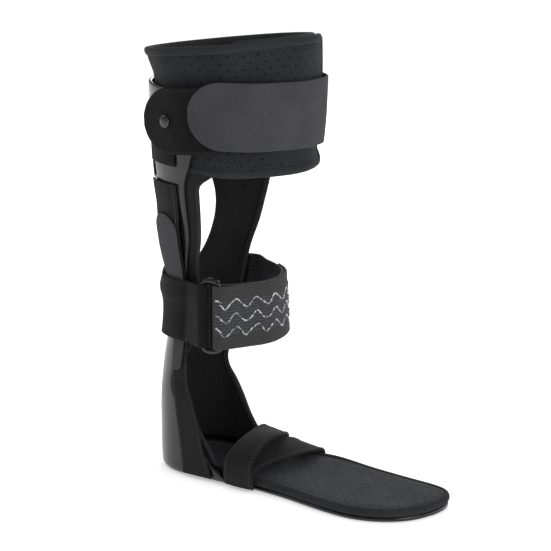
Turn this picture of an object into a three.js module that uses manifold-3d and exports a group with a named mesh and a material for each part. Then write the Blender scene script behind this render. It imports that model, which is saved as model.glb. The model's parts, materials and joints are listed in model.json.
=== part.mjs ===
// Ankle foot orthosis for the right foot: a one-piece plastic shell with a lined calf cuff, two uprights round
// an open rear window, a heel cup and a full footplate, held by a calf strap, an ankle strap and a foot strap.
// Millimetres. The origin is on the sole's lower face under the centre of the heel: +X toes, +Y medial, +Z up.
// The x values below are counted from the back of the heel, and add() moves every piece to the origin.
// Angles round the leg are degrees from straight behind, positive towards the lateral side (-Y).
import * as THREE from "three";
import { mergeVertices } from "three/addons/utils/BufferGeometryUtils.js";
import Module from "manifold-3d";

const wasm = await Module();
wasm.setup();

// ---------------------------------------------------------------- driving dimensions
const HEEL_CENTRE = 33.5; // from the back of the heel to the origin
const GAP = 0.6; // clearance between stacked layers
const SHELL_WALL = 3;
const SHELL_TOP = 308;
const LEG_TURN = 10; // the calf part faces this far inwards of the foot
const PLATE_THICK = 3;
const FOOTBED_TOP = 10;
const SLEEVE_THICK = 1.6;
const SLEEVE_END_THICK = 0.9; // its upper end, from the slot to under the calf tab
const HOOK_THICK = 1.2;
const STRAP_THICK = 1.8;
const CALF_STRAP_WIDTH = 51;
const CALF_TAB_WIDTH = 50;
const ANKLE_STRAP_WIDTH = 49;
const ANKLE_STRAP_LOW = 111;
const WINDOW = { z: 200, halfHeight: 50, angle: 1, halfAngle: 45 };
const SLOT = { angle: 40, halfAngle: 4.5, low: 237, high: 249 };

// Height, centre x and radius of the shell's outer face.
const LEG_ROWS = [
  [0, 33.5, 32.6], [3, 34, 35.2], [8, 34.3, 36], [30, 35, 37], [60, 37, 38.3], [90, 40, 37.8],
  [110, 42.5, 36.9], [140, 46.5, 38.8], [170, 50.5, 43.6], [200, 55, 50.6], [235, 59.5, 59.4],
  [270, 61.5, 63], [308, 62, 64.5], [352, 62, 65],
];
// Height and half angle of the shell's front edges, from its own centre line.
const SHELL_EDGE = [
  [0, 165], [4, 158], [12, 138], [23, 122], [34, 109], [46, 98], [58, 86], [72, 73], [86, 72], [110, 73],
  [140, 75], [170, 77], [192, 80], [235, 79], [252, 84], [278, 90], [297, 91], [303, 88], [308, 78],
];
// Height and half angle of the front edges of the lining of the heel and the uprights.
const LINING_EDGE = [
  [12, 138], [23, 124], [34, 111], [46, 99], [58, 86.5], [70, 73.5], [78, 69.5], [86, 71.5], [102, 79],
  [120, 85], [140, 88], [170, 90], [192, 94], [243, 94],
];

// ---------------------------------------------------------------- numbers and curves
const rad = THREE.MathUtils.degToRad;
const { smoothstep, lerp } = THREE.MathUtils;

// Smooth value of a table column at a height.
function column(rows, z, index) {
  let i = 1;
  while (i < rows.length - 1 && rows[i][0] < z) i += 1;
  const slope = (k) => {
    const a = rows[Math.max(k - 1, 0)];
    const b = rows[Math.min(k + 1, rows.length - 1)];
    return (b[index] - a[index]) / (b[0] - a[0]);
  };
  const span = rows[i][0] - rows[i - 1][0];
  const t = THREE.MathUtils.clamp((z - rows[i - 1][0]) / span, 0, 1);
  const t2 = t * t;
  const t3 = t2 * t;
  return (
    (2 * t3 - 3 * t2 + 1) * rows[i - 1][index] +
    (t3 - 2 * t2 + t) * span * slope(i - 1) +
    (3 * t2 - 2 * t3) * rows[i][index] +
    (t3 - t2) * span * slope(i)
  );
}

// A point on the shell's outer face, moved out by offset. Low down the sides run straight forward like a foot.
function legPoint(angle, z, offset) {
  const centre = column(LEG_ROWS, z, 1);
  const radius = column(LEG_ROWS, z, 2);
  const side = angle < 0 ? 1 : -1;
  const past = Math.abs(angle) - 90;
  if (past <= 0) {
    return new THREE.Vector3(
      centre - (radius + offset) * Math.cos(rad(angle)),
      -(radius + offset) * Math.sin(rad(angle)),
      z,
    );
  }
  const foot = 1 - smoothstep(z, 45, 110);
  const round = new THREE.Vector2(Math.sin(rad(past)), Math.cos(rad(past))).multiplyScalar(radius + offset);
  const straight = new THREE.Vector2(rad(past) * radius, radius + offset);
  const across = round.lerp(straight, foot);
  return new THREE.Vector3(centre + across.x, side * across.y, z);
}

const legTurn = (z) => LEG_TURN * smoothstep(z, 60, 150);

// Angle of the lining's front edge on one side. It stops shorter on the lateral side and curves out to the cuff.
function liningEdge(side, z) {
  const shorter = side > 0 ? 9 * smoothstep(z, 110, 185) : 0;
  const corner = 14 * smoothstep(z, 230, 247) ** 2;
  return side * (column(LINING_EDGE, z, 1) - shorter + corner) + legTurn(z);
}

// The cuff's rim is higher in front and on the lateral side.
function rimHeight(angle) {
  return 337.5 - 8.6 * Math.cos(rad(angle)) + 2.9 * Math.sin(rad(angle));
}

// ---------------------------------------------------------------- solids
// A closed solid from a grid: point(u, v, depth) with u and v from 0 to 1, depth 0 outside and 1 inside.
function sheet(point, uStops, vStops) {
  const us = typeof uStops === "number" ? evenStops(uStops) : uStops;
  const vs = typeof vStops === "number" ? evenStops(vStops) : vStops;
  const positions = [];
  for (const depth of [0, 1]) {
    for (const u of us) {
      for (const v of vs) positions.push(...point(u, v, depth).toArray());
    }
  }
  const id = (face, i, j) => (face * us.length + i) * vs.length + j;
  const index = [];
  const quad = (a, b, c, d) => index.push(a, b, c, a, c, d);
  const lastU = us.length - 1;
  const lastV = vs.length - 1;
  for (let i = 0; i < lastU; i += 1) {
    for (let j = 0; j < lastV; j += 1) {
      quad(id(0, i, j), id(0, i + 1, j), id(0, i + 1, j + 1), id(0, i, j + 1));
      quad(id(1, i, j), id(1, i, j + 1), id(1, i + 1, j + 1), id(1, i + 1, j));
    }
    quad(id(0, i + 1, 0), id(0, i, 0), id(1, i, 0), id(1, i + 1, 0));
    quad(id(0, i, lastV), id(0, i + 1, lastV), id(1, i + 1, lastV), id(1, i, lastV));
  }
  for (let j = 0; j < lastV; j += 1) {
    quad(id(0, 0, j), id(0, 0, j + 1), id(1, 0, j + 1), id(1, 0, j));
    quad(id(0, lastU, j + 1), id(0, lastU, j), id(1, lastU, j), id(1, lastU, j + 1));
  }
  return facingOut(positions, index);
}

function evenStops(count) {
  return Array.from({ length: count + 1 }, (_, i) => i / count);
}

function facingOut(positions, index) {
  const at = (k) => new THREE.Vector3().fromArray(positions, 3 * k);
  let volume = 0;
  for (let i = 0; i < index.length; i += 3) {
    volume += at(index[i]).dot(at(index[i + 1]).cross(at(index[i + 2])));
  }
  if (volume < 0) index.reverse();
  const geometry = new THREE.BufferGeometry();
  geometry.setAttribute("position", new THREE.Float32BufferAttribute(positions, 3));
  geometry.setIndex(index);
  return geometry;
}

// A round bar along a closed run of points.
function closedBar(points, radius, sides) {
  const count = points.length;
  const centre = points.reduce((sum, p) => sum.add(p), new THREE.Vector3()).divideScalar(count);
  const normal = points[0].clone().sub(centre).cross(points[1].clone().sub(centre)).normalize();
  const positions = [];
  const index = [];
  for (let i = 0; i < count; i += 1) {
    const before = points[(i + count - 1) % count];
    const after = points[(i + 1) % count];
    const out = after.clone().sub(before).normalize().cross(normal);
    for (let k = 0; k < sides; k += 1) {
      const turn = (2 * Math.PI * k) / sides;
      const p = points[i].clone();
      p.addScaledVector(out, radius * Math.cos(turn)).addScaledVector(normal, radius * Math.sin(turn));
      positions.push(...p.toArray());
      const [a, b] = [i * sides + k, i * sides + ((k + 1) % sides)];
      const [c, d] = [((i + 1) % count) * sides + k, ((i + 1) % count) * sides + ((k + 1) % sides)];
      index.push(a, c, d, a, d, b);
    }
  }
  return facingOut(positions, index);
}

function toSolid(geometry) {
  const bare = geometry.clone();
  bare.deleteAttribute("normal");
  bare.deleteAttribute("uv");
  const merged = mergeVertices(bare, 1e-4);
  return new wasm.Manifold(
    new wasm.Mesh({
      numProp: 3,
      vertProperties: merged.attributes.position.array,
      triVerts: new Uint32Array(merged.index.array),
    }),
  );
}

function toGeometry(solid) {
  const mesh = solid.getMesh();
  const geometry = new THREE.BufferGeometry();
  geometry.setAttribute("position", new THREE.Float32BufferAttribute(mesh.vertProperties, 3));
  geometry.setIndex(new THREE.Uint32BufferAttribute(mesh.triVerts, 1));
  return geometry;
}

// ---------------------------------------------------------------- materials
const paint = (color, roughness) => new THREE.MeshStandardMaterial({ color, roughness, metalness: 0 });
const PLASTIC = paint(0x101012, 0.25);
const LINER = paint(0x26262b, 0.95);
const BINDING = paint(0x1f1f23, 0.9);
const LOOP = paint(0x18181b, 1);
const HOOK = paint(0x3e3d42, 0.85);
const WEBBING = paint(0x1d1d20, 0.95);
const ELASTIC = paint(0x303036, 0.9);
const SILICONE = paint(0x9a9aa0, 0.35);
const DARK_METAL = new THREE.MeshStandardMaterial({ color: 0x2a2a2e, roughness: 0.3, metalness: 0.9 });

const orthosis = new THREE.Group();
orthosis.name = "ankle_foot_orthosis";

function add(name, geometry, material) {
  geometry.translate(-HEEL_CENTRE, 0, 0);
  geometry.computeVertexNormals();
  const mesh = new THREE.Mesh(geometry, material);
  mesh.name = name;
  orthosis.add(mesh);
}

// ---------------------------------------------------------------- shell
const shellEdge = (side, z) => side * column(SHELL_EDGE, z, 1) + legTurn(z);

// The wall of the shell, or of a lining that follows it, between two heights and two front edges.
function legWall(edge, outer, inner, heights, turns) {
  const low = heights[0];
  const high = heights[heights.length - 1];
  const stops = heights.map((z) => (z - low) / (high - low));
  return sheet(
    (u, v, depth) => {
      const z = lerp(low, high, v);
      return legPoint(lerp(edge(-1, z), edge(1, z), u), z, depth ? inner : outer);
    },
    turns,
    stops,
  );
}

// The oval window between the uprights, as a cutter; margin makes it smaller.
function windowCutter(margin) {
  const reach = 12;
  return sheet(
    (u, v, depth) => {
      const turn = rad(lerp(-86, 86, v));
      const z = WINDOW.z + (WINDOW.halfHeight - margin) * Math.sin(turn);
      const half = (WINDOW.halfAngle - margin) * Math.cos(turn);
      return legPoint(lerp(-half, half, u) + WINDOW.angle, z, depth ? -reach : reach);
    },
    6,
    14,
  );
}

function slotCutter(side) {
  const reach = 6;
  return sheet(
    (u, v, depth) => {
      const angle = side * SLOT.angle + lerp(-SLOT.halfAngle, SLOT.halfAngle, u) + LEG_TURN;
      return legPoint(angle, lerp(SLOT.low, SLOT.high, v), depth ? -reach : reach);
    },
    2,
    1,
  );
}

// Outline of the footplate, heel first, then the lateral side, the toes and the medial side.
function soleOutline(grow) {
  const heelX = 33.5;
  const heelRadius = 30.6 + grow;
  const points = [];
  for (let turn = 90; turn <= 270; turn += 15) {
    points.push([heelX + heelRadius * Math.cos(rad(turn)), heelRadius * Math.sin(rad(turn))]);
  }
  const front = [
    [60, -30.6], [84, -30.8], [108, -31.5], [130, -33.5], [152, -37], [174, -40.2], [194, -40.8],
    [211, -36.5], [226, -27], [236, -14], [241, 1], [242, 15], [239.5, 26], [232, 33.5], [219, 37],
    [200, 38.5], [178, 40.5], [155, 43], [132, 43.5], [110, 40], [86, 34.5], [60, 30.8],
  ];
  const middle = new THREE.Vector2(150, 2);
  for (const [x, y] of front) {
    const out = new THREE.Vector2((x - middle.x) * 0.35, y - middle.y).normalize();
    points.push([x + grow * out.x, y + grow * out.y]);
  }
  return points;
}

function soleShape(grow) {
  const points = soleOutline(grow).map(([x, y]) => new THREE.Vector2(x, y));
  return new THREE.Shape(points.reverse());
}

// A flat plate with the outline; lift(x, y) raises its upper edge.
function plate(shape, low, high, lift) {
  const geometry = new THREE.ExtrudeGeometry(shape, { depth: high - low, bevelEnabled: false });
  geometry.translate(0, 0, low);
  const position = geometry.attributes.position;
  for (let i = 0; i < position.count; i += 1) {
    if (lift && position.getZ(i) > (low + high) / 2) {
      position.setZ(i, position.getZ(i) + lift(position.getX(i), position.getY(i)));
    }
  }
  return geometry;
}

// A round hole along the outward direction of the leg at an angle and a height.
function radialPeg(angle, z, radius, from, to) {
  const peg = new THREE.CylinderGeometry(radius, radius, to - from, 16);
  peg.rotateZ(-Math.PI / 2);
  peg.translate((from + to) / 2, 0, 0);
  return placeRadial(peg, angle, z);
}

function placeRadial(geometry, angle, z) {
  const on = legPoint(angle, z, 0);
  geometry.rotateZ(Math.PI + rad(angle));
  return geometry.translate(on.x, on.y, on.z);
}

const RIVETS = [
  { name: "calf_rivet_lateral", angle: 78.4, z: 284.5, outer: SLEEVE_END_THICK + STRAP_THICK + 3 * GAP },
  { name: "calf_rivet_medial", angle: -62, z: 286, outer: STRAP_THICK + 2 * GAP },
];
const RIVET_HOLE = 2.6;
const RIVET_STEM = 2.2;

function buildShell() {
  const heights = [0, 3, 8, 16, 26, 38, 52, 66, 80, 98, 118, 140, 162, 186, 210, 234, 252, 276, 297, 304, 308];
  let shell = toSolid(legWall(shellEdge, 0, -SHELL_WALL, heights, 24));
  shell = shell.add(toSolid(plate(soleShape(0), 0, PLATE_THICK)));
  shell = shell.subtract(toSolid(windowCutter(0)));
  for (const side of [-1, 1]) shell = shell.subtract(toSolid(slotCutter(side)));
  for (const rivet of RIVETS) {
    shell = shell.subtract(toSolid(radialPeg(rivet.angle, rivet.z, RIVET_HOLE, -9, 9)));
  }
  add("shell", toGeometry(shell), PLASTIC);
}

// ---------------------------------------------------------------- linings
const CUFF = { inner: -235, outer: 211.5, low: 244, binding: 6.5, thick: 3.2 };

// Middle of the cuff's wrap: inside the shell behind, over its own inner end in front.
function cuffMiddle(angle, z) {
  const inside = -6.4;
  const overlapOut = smoothstep(angle, 101, 124) * 4.7;
  const overlapIn = smoothstep(-angle, 140, 160) * 1.2;
  const flare = smoothstep(z, SHELL_TOP, 336) * (1 - smoothstep(Math.abs(angle - 10), 95, 150)) * 7.5;
  const lowFlare = 4.5 * (1 - smoothstep(z, 244, 259)) * smoothstep(angle, 140, 185);
  return inside + overlapOut - overlapIn + flare + lowFlare;
}

// Lower edge of the cuff: level in front, following the window behind.
function cuffLow(angle) {
  const behind = 1 - smoothstep(Math.abs(angle - LEG_TURN), 30, 62);
  return CUFF.low + 9 * behind;
}

function cuffBand(from, to, low, high, thick, turns, rows) {
  return sheet(
    (u, v, depth) => {
      const angle = lerp(from, to, u);
      const z = lerp(low(angle), high(angle), v);
      return legPoint(angle, z, cuffMiddle(angle, z) + (depth ? -thick : thick) / 2);
    },
    turns,
    rows,
  );
}

function buildCuff() {
  const { binding, thick } = CUFF;
  const bodyLow = (angle) => cuffLow(angle) + binding + GAP;
  const bodyHigh = (angle) => rimHeight(angle) - binding - GAP;
  const { inner, outer } = CUFF;
  const turns = 44;
  const rolled = thick + 0.8;
  add("calf_liner", cuffBand(inner, outer, bodyLow, bodyHigh, thick, turns, 4), LINER);
  const topLow = (angle) => rimHeight(angle) - binding;
  const lowHigh = (angle) => cuffLow(angle) + binding;
  add("cuff_binding_top", cuffBand(inner, outer, topLow, rimHeight, rolled, turns, 1), BINDING);
  add("cuff_binding_low", cuffBand(inner, outer, cuffLow, lowHigh, rolled, turns, 1), BINDING);
  add("cuff_binding_edge", cuffBand(outer + 0.6, outer + 4.6, cuffLow, rimHeight, rolled, 1, 4), BINDING);
}

const LINING_THICK = 2.6;
const LINING_BINDING = 4; // width of the strip along its edge
const BINDING_STEP = 0.8; // which stands this far off the lining's face

function buildLinings() {
  const outer = -SHELL_WALL - GAP;
  const inner = outer - LINING_THICK;
  const heights = [12, 18, 26, 38, 52, 66, 80, 98, 118, 140, 162, 186, 210, 228, 243];
  const wall = toSolid(legWall(liningEdge, outer, inner, heights, 14));
  add("lower_liner", toGeometry(wall.subtract(toSolid(windowCutter(3)))), LINER);
  for (const [name, side] of [["liner_binding_lateral", 1], ["liner_binding_medial", -1]]) {
    add(name, edgeBinding(side, heights, outer, inner - BINDING_STEP), BINDING);
  }
}

// The binding strip along one front edge of the lower lining.
function edgeBinding(side, heights, outer, inner) {
  const low = heights[0];
  const high = heights[heights.length - 1];
  const turnPerMm = 180 / (Math.PI * 40);
  return sheet(
    (u, v, depth) => {
      const z = lerp(low, high, v);
      const beyond = side * (GAP + u * LINING_BINDING) * turnPerMm;
      return legPoint(liningEdge(side, z) + beyond, z, depth ? inner : outer);
    },
    1,
    heights.map((z) => (z - low) / (high - low)),
  );
}

// ---------------------------------------------------------------- footbed
const FOOTBED_LOW = PLATE_THICK + 0.4;
const FOOTBED_BINDING = 4.5;

function footbedOutline(inset) {
  return soleOutline(0).map(([x, y], i, all) => {
    const before = all[(i + all.length - 1) % all.length];
    const after = all[(i + 1) % all.length];
    const out = new THREE.Vector2(after[1] - before[1], before[0] - after[0]).normalize();
    const heel = smoothstep(100 - x, 0, 25) * 5.2;
    return [x - out.x * (inset + heel - 1), y - out.y * (inset + heel - 1)];
  });
}

// The medial arch and the instep side stand up a little.
const archLift = (x, y) => 3.5 * smoothstep(y, 5, 35) * smoothstep(x, 60, 100) * (1 - smoothstep(x, 115, 165));

function shapeOf(points) {
  return new THREE.Shape(points.map(([x, y]) => new THREE.Vector2(x, y)).reverse());
}

function buildFootbed() {
  const pad = shapeOf(footbedOutline(FOOTBED_BINDING + 0.4));
  add("footbed", plate(pad, FOOTBED_LOW, FOOTBED_TOP, archLift), LINER);
  const ring = shapeOf(footbedOutline(0));
  ring.holes.push(new THREE.Path(footbedOutline(FOOTBED_BINDING).map(([x, y]) => new THREE.Vector2(x, y))));
  add("footbed_binding", plate(ring, FOOTBED_LOW, FOOTBED_TOP - 0.8, archLift), BINDING);
}

// ---------------------------------------------------------------- sleeves and hook strips
// Height, rear and front angle of the fabric band on the lateral side, down to the sole.
const SLEEVE_ROWS = [
  [2, 96, 141], [9, 95.5, 137], [24, 92.5, 127], [45, 87.5, 119], [65, 82, 106.5], [76, 79, 99.5],
  [86, 77, 97], [110, 73, 93], [140, 64, 89.5],
  [170, 54, 86], [200, 50, 84], [236, 50, 83],
];
const HOOK_ROWS = [[88, 78, 90], [104, 75.5, 90.5], [140, 66, 88], [170, 55, 85.5], [210, 51.5, 82]];
const sleeveBulge = (z) => 2 * smoothstep(z, 158, 186) * (1 - smoothstep(z, 196, 222));

// Rear and front angle of a side band. The medial one is narrower: it stays between the window and the shell's edge.
function bandEdges(side, rows, z) {
  const rear = column(rows, z, 1);
  const front = column(rows, z, 2);
  if (side > 0) return [rear, front];
  const medialFront = Math.min(front - 2 * legTurn(z), column(SHELL_EDGE, z, 1) - legTurn(z));
  const windowSide = column(rows, rows[rows.length - 1][0], 1) - 3;
  return [-Math.max(windowSide, medialFront - (front - rear)), -medialFront];
}

// A band on one side of the leg between two angles given by rows.
function sideBand(side, rows, outer, inner, across, heights, roundEnds) {
  const low = heights[0];
  const high = heights[heights.length - 1];
  return sheet(
    (u, v, depth) => {
      const z = lerp(low, high, v);
      const [rear, front] = bandEdges(side, rows, z);
      const radius = column(LEG_ROWS, z, 2);
      const half = (front - rear) / 2;
      const halfMm = rad(Math.abs(half)) * radius;
      const fromEnd = Math.min(z - low, high - z);
      const inside = Math.max(halfMm - fromEnd - 0.6, 0) / halfMm;
      const share = roundEnds ? Math.sqrt(1 - inside * inside) : 1;
      const angle = (front + rear) / 2 + lerp(-half, half, u) * share;
      return legPoint(angle, z, (depth ? inner : outer) + sleeveBulge(z));
    },
    across,
    heights.map((z) => (z - low) / (high - low)),
  );
}

function buildSideBands() {
  const sleeveHeights = [2, 8, 15, 24, 34, 45, 65, 84, 102, 120, 140, 158, 176, 200, 218, 236];
  const hookHeights = [86, 87, 89, 92, 102, 120, 140, 158, 176, 194, 200, 205, 208.5, 210.5, 211];
  const sleeveOut = GAP + SLEEVE_THICK;
  for (const [side, sideName] of [[1, "lateral"], [-1, "medial"]]) {
    const sleeve = sideBand(side, SLEEVE_ROWS, sleeveOut, GAP, 4, sleeveHeights, false);
    add("sleeve_" + sideName, sleeve, LOOP);
    const endHeights = side > 0 ? [250, 258, 266] : [250, 254, 258];
    const end = sideBand(side, SLEEVE_ROWS, GAP + SLEEVE_END_THICK, GAP, 4, endHeights, false);
    add("sleeve_end_" + sideName, end, LOOP);
    const hook = sideBand(side, HOOK_ROWS, sleeveOut + GAP + HOOK_THICK, sleeveOut + GAP, 3, hookHeights, true);
    add("hook_strip_" + sideName, hook, HOOK);
  }
}

// ---------------------------------------------------------------- calf strap
// A strap along the leg between two angles. Its ends are half round where asked.
function legStrap({ from, to, middle, width, inner, thick, steps, roundFrom, roundTo }) {
  const stops = evenStops(steps);
  const radius = 65;
  const endTurn = THREE.MathUtils.radToDeg(width / 2 / radius);
  const ends = [0.015, 0.06, 0.14, 0.25, 0.42, 0.64, 1].map((s) => (s * endTurn) / Math.abs(to - from));
  const us = [
    ...(roundFrom ? [0, ...ends] : stops.filter((s) => s < ends[6])),
    ...stops.filter((s) => s > ends[6] * 1.2 && s < 1 - ends[6] * 1.2),
    ...(roundTo ? [...ends.map((s) => 1 - s).reverse(), 1] : stops.filter((s) => s > 1 - ends[6])),
  ];
  return sheet(
    (u, v, depth) => {
      const angle = lerp(from, to, u);
      const fromStart = roundFrom ? Math.abs(angle - from) / endTurn : 1;
      const fromFinish = roundTo ? Math.abs(to - angle) / endTurn : 1;
      const inside = Math.max(1 - Math.min(fromStart, fromFinish) - 0.02, 0);
      const half = (width / 2) * Math.sqrt(1 - inside * inside);
      const z = middle(angle) + lerp(-half, half, v);
      return legPoint(angle, z, inner(angle, z) + (depth ? 0 : thick));
    },
    us,
    2,
  );
}

const TAB_ON_LEG = 78.4; // behind this angle the tab runs straight, off the shell
const STRAP_TURN = 211; // where the free end of the calf strap starts to peel
const strapMiddle = (angle) => 288.4 + 4 * Math.cos(rad(angle - 85));

// Inner face of the tab: over the sleeve's end on the shell, then over the cuff.
function tabInner(angle) {
  const onShell = 2 * GAP + SLEEVE_END_THICK;
  const straight = (65 + onShell) / Math.cos(rad(Math.max(TAB_ON_LEG - angle, 0))) - 65;
  return straight + 0.3 * smoothstep(angle, 90, 108);
}

// Inner face of the strap: over the tab, down to the cuff, out to a corner where it turns, and onto the shell.
function strapInner(angle) {
  const overTab = tabInner(100) + STRAP_THICK + GAP;
  const onCuff = lerp(overTab, 1.4, smoothstep(angle, 136, 158));
  const corner = 2.2 * smoothstep(angle, 192, STRAP_TURN) * (1 - smoothstep(angle, STRAP_TURN, 230));
  return lerp(onCuff, GAP, smoothstep(angle, 215, 250)) + corner;
}

function buildCalfStrap() {
  const tab = legStrap({
    from: 57.5,
    to: 134,
    middle: (angle) => 279.5 + 0.112 * (angle - 36),
    width: CALF_TAB_WIDTH,
    inner: tabInner,
    thick: STRAP_THICK,
    steps: 12,
    roundFrom: true,
    roundTo: true,
  });
  const [lateral] = RIVETS;
  const hole = toSolid(radialPeg(lateral.angle, lateral.z, RIVET_HOLE, -9, 9));
  add("calf_tab", toGeometry(toSolid(tab).subtract(hole)), LOOP);

  add(
    "calf_strap_end",
    legStrap({
      from: 97,
      to: STRAP_TURN,
      middle: strapMiddle,
      width: CALF_STRAP_WIDTH,
      inner: strapInner,
      thick: STRAP_THICK,
      steps: 14,
      roundFrom: true,
      roundTo: false,
    }),
    HOOK,
  );
  const base = legStrap({
    from: STRAP_TURN + 0.7,
    to: 314,
    middle: strapMiddle,
    width: CALF_STRAP_WIDTH,
    inner: strapInner,
    thick: STRAP_THICK,
    steps: 14,
    roundFrom: false,
    roundTo: true,
  });
  const medial = RIVETS[1];
  const medialHole = toSolid(radialPeg(medial.angle, medial.z, RIVET_HOLE, -9, 9));
  add("calf_strap_base", toGeometry(toSolid(base).subtract(medialHole)), HOOK);
}

// A rivet: domed head outside, stem through the strap and the shell, thin flange inside the shell.
function buildRivets() {
  for (const rivet of RIVETS) {
    const headBase = rivet.outer;
    const flangeTop = -SHELL_WALL - 0.5;
    const profile = [
      [0, flangeTop - 0.8], [4.4, flangeTop - 0.8], [4.4, flangeTop], [RIVET_STEM, flangeTop],
      [RIVET_STEM, headBase], [4.9, headBase], [4.7, headBase + 0.9], [3.9, headBase + 1.9],
      [2.4, headBase + 2.6], [0, headBase + 2.8],
    ].map(([r, h]) => new THREE.Vector2(r, h));
    const body = new THREE.LatheGeometry(profile, 18);
    body.rotateZ(-Math.PI / 2);
    add(rivet.name, placeRadial(toGeometry(toSolid(body)), rivet.angle, rivet.z), DARK_METAL);
  }
}

// ---------------------------------------------------------------- ankle strap
const RING = {
  rear: new THREE.Vector2(66, -46.6),
  front: new THREE.Vector2(79.5, -43.8),
  low: 108.2,
  high: 163,
  bar: 2.1,
};
const LOOP_CLEAR = 1.3; // room between a strap's fold and the bar it turns round
const ELASTIC_THICK = 2;
const ELASTIC_FOLD = RING.bar + LOOP_CLEAR + ELASTIC_THICK / 2;
const BAR_SEAM = 11; // degrees left open between the two layers' meeting ends
const ANKLE_HIGH = ANKLE_STRAP_LOW + ANKLE_STRAP_WIDTH;

// A band between two heights along a run of plan points that may change with height.
function planBand(path, low, high, thick, rows) {
  const runs = evenStops(rows).map((v) => outlineOfRun(path(lerp(low, high, v)), thick));
  const count = runs[0].left.length - 1;
  return sheet(
    (u, v, depth) => {
      const run = runs[Math.round(v * rows)];
      const p = (depth ? run.left : run.right)[Math.round(u * count)];
      return new THREE.Vector3(p.x, p.y, lerp(low, high, v));
    },
    count,
    rows,
  );
}

// The two faces of a band whose middle runs through the points, left and right of its run.
function outlineOfRun(points, thick) {
  const faces = { left: [], right: [] };
  points.forEach((p, i) => {
    const before = points[Math.max(i - 1, 0)];
    const after = points[Math.min(i + 1, points.length - 1)];
    const along = after.clone().sub(before).normalize();
    const aside = new THREE.Vector2(-along.y, along.x).multiplyScalar(thick / 2);
    faces.left.push(p.clone().add(aside));
    faces.right.push(p.clone().sub(aside));
  });
  return faces;
}

// Points on an arc round a bar, from one direction to another.
function foldRound(centre, radius, from, to, steps) {
  return evenStops(steps).map((s) => {
    const turn = rad(lerp(from, to, s));
    return new THREE.Vector2(centre.x + radius * Math.cos(turn), centre.y + radius * Math.sin(turn));
  });
}

const flat = (p) => new THREE.Vector2(p.x, p.y);

// From the medial side behind the heel to the ring's rear bar, round it and back inside.
function loopStrapRun(z) {
  const rise = smoothstep(z, ANKLE_STRAP_LOW, ANKLE_HIGH);
  const layers = GAP + SLEEVE_THICK + GAP + HOOK_THICK + GAP + STRAP_THICK / 2;
  const onShell = GAP + STRAP_THICK / 2 + 1.6 * rise + 3.4 * smoothstep(z, 130, 146) * (1 - smoothstep(z, 146, 160));
  const points = [];
  for (let angle = -82; angle <= 94; angle += 8) {
    const fromMiddle = Math.abs(angle - legTurn(z));
    const offset = lerp(onShell, Math.max(layers, onShell), smoothstep(fromMiddle, 30, 47));
    points.push(flat(legPoint(angle, z, offset)));
  }
  const fold = RING.bar + LOOP_CLEAR + STRAP_THICK / 2;
  points.push(...foldRound(RING.rear, fold, -100, 78, 6));
  points.push(new THREE.Vector2(RING.rear.x - 6, RING.rear.y + 4.2));
  return points;
}

// Plan points of the elastic round the front of the ankle, towards the ring, at its upper and lower edge.
const FRONT_HIGH = [
  [60, 42.5], [73, 36], [84.5, 28], [93, 17.5], [97.8, 6.5], [98.7, -5], [96.2, -15], [91.5, -24], [86, -32.5],
];
const FRONT_LOW = [
  [62, 44.5], [76.5, 39.5], [87, 30], [93.5, 19], [97.4, 6.5], [98.4, -5], [96.2, -15], [91.5, -24], [86, -32.5],
];
// Directions from the ring's front bar: where the elastic meets it, where its inner and outer layer join, and
// where it leaves the bar.
const BAR_MEETS = 135;
const BAR_JOIN = 285;
const BAR_LEAVES = 336;

function frontRun(z) {
  const rise = (z - ANKLE_STRAP_LOW) / ANKLE_STRAP_WIDTH;
  return FRONT_LOW.map(([x, y], i) => new THREE.Vector2(x, y).lerp(new THREE.Vector2(...FRONT_HIGH[i]), rise));
}

// From the medial side, over the loop strap, round the front and through the ring round its front bar.
function elasticRun(z) {
  const layers = 3 * (GAP + STRAP_THICK) + HOOK_THICK + ELASTIC_THICK / 2;
  const medial = [-58, -68, -78, -88].map((angle) => flat(legPoint(angle, z, layers)));
  return [...medial, ...frontRun(z), ...foldRound(RING.front, ELASTIC_FOLD, BAR_MEETS, BAR_JOIN, 7)];
}

// The outer layer goes on round the ring's bar and back over the inner one, to the front-medial side.
function outerLayerRun(z) {
  const covered = frontRun(z).slice(1, -1).reverse();
  const lifted = covered.map((p, i) => {
    const before = covered[Math.max(i - 1, 0)];
    const after = covered[Math.min(i + 1, covered.length - 1)];
    const along = after.clone().sub(before).normalize();
    const out = new THREE.Vector2(along.y, -along.x);
    return p.clone().addScaledVector(out, ELASTIC_THICK + GAP);
  });
  const [start, leaving] = foldRound(RING.front, ELASTIC_FOLD, BAR_JOIN + BAR_SEAM, BAR_LEAVES, 1);
  return [start, ...new THREE.SplineCurve([leaving, ...lifted]).getPoints(16)];
}

// Three rounded zigzag lines of grip rubber on the outer layer.
const WAVE = { start: 6, stop: 3, length: 17.5, height: 6.5, width: 1.3, thick: 0.5, spacing: 10.6 };
const WAVE_CLEAR = 0.35; // between the elastic and the rubber

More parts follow.
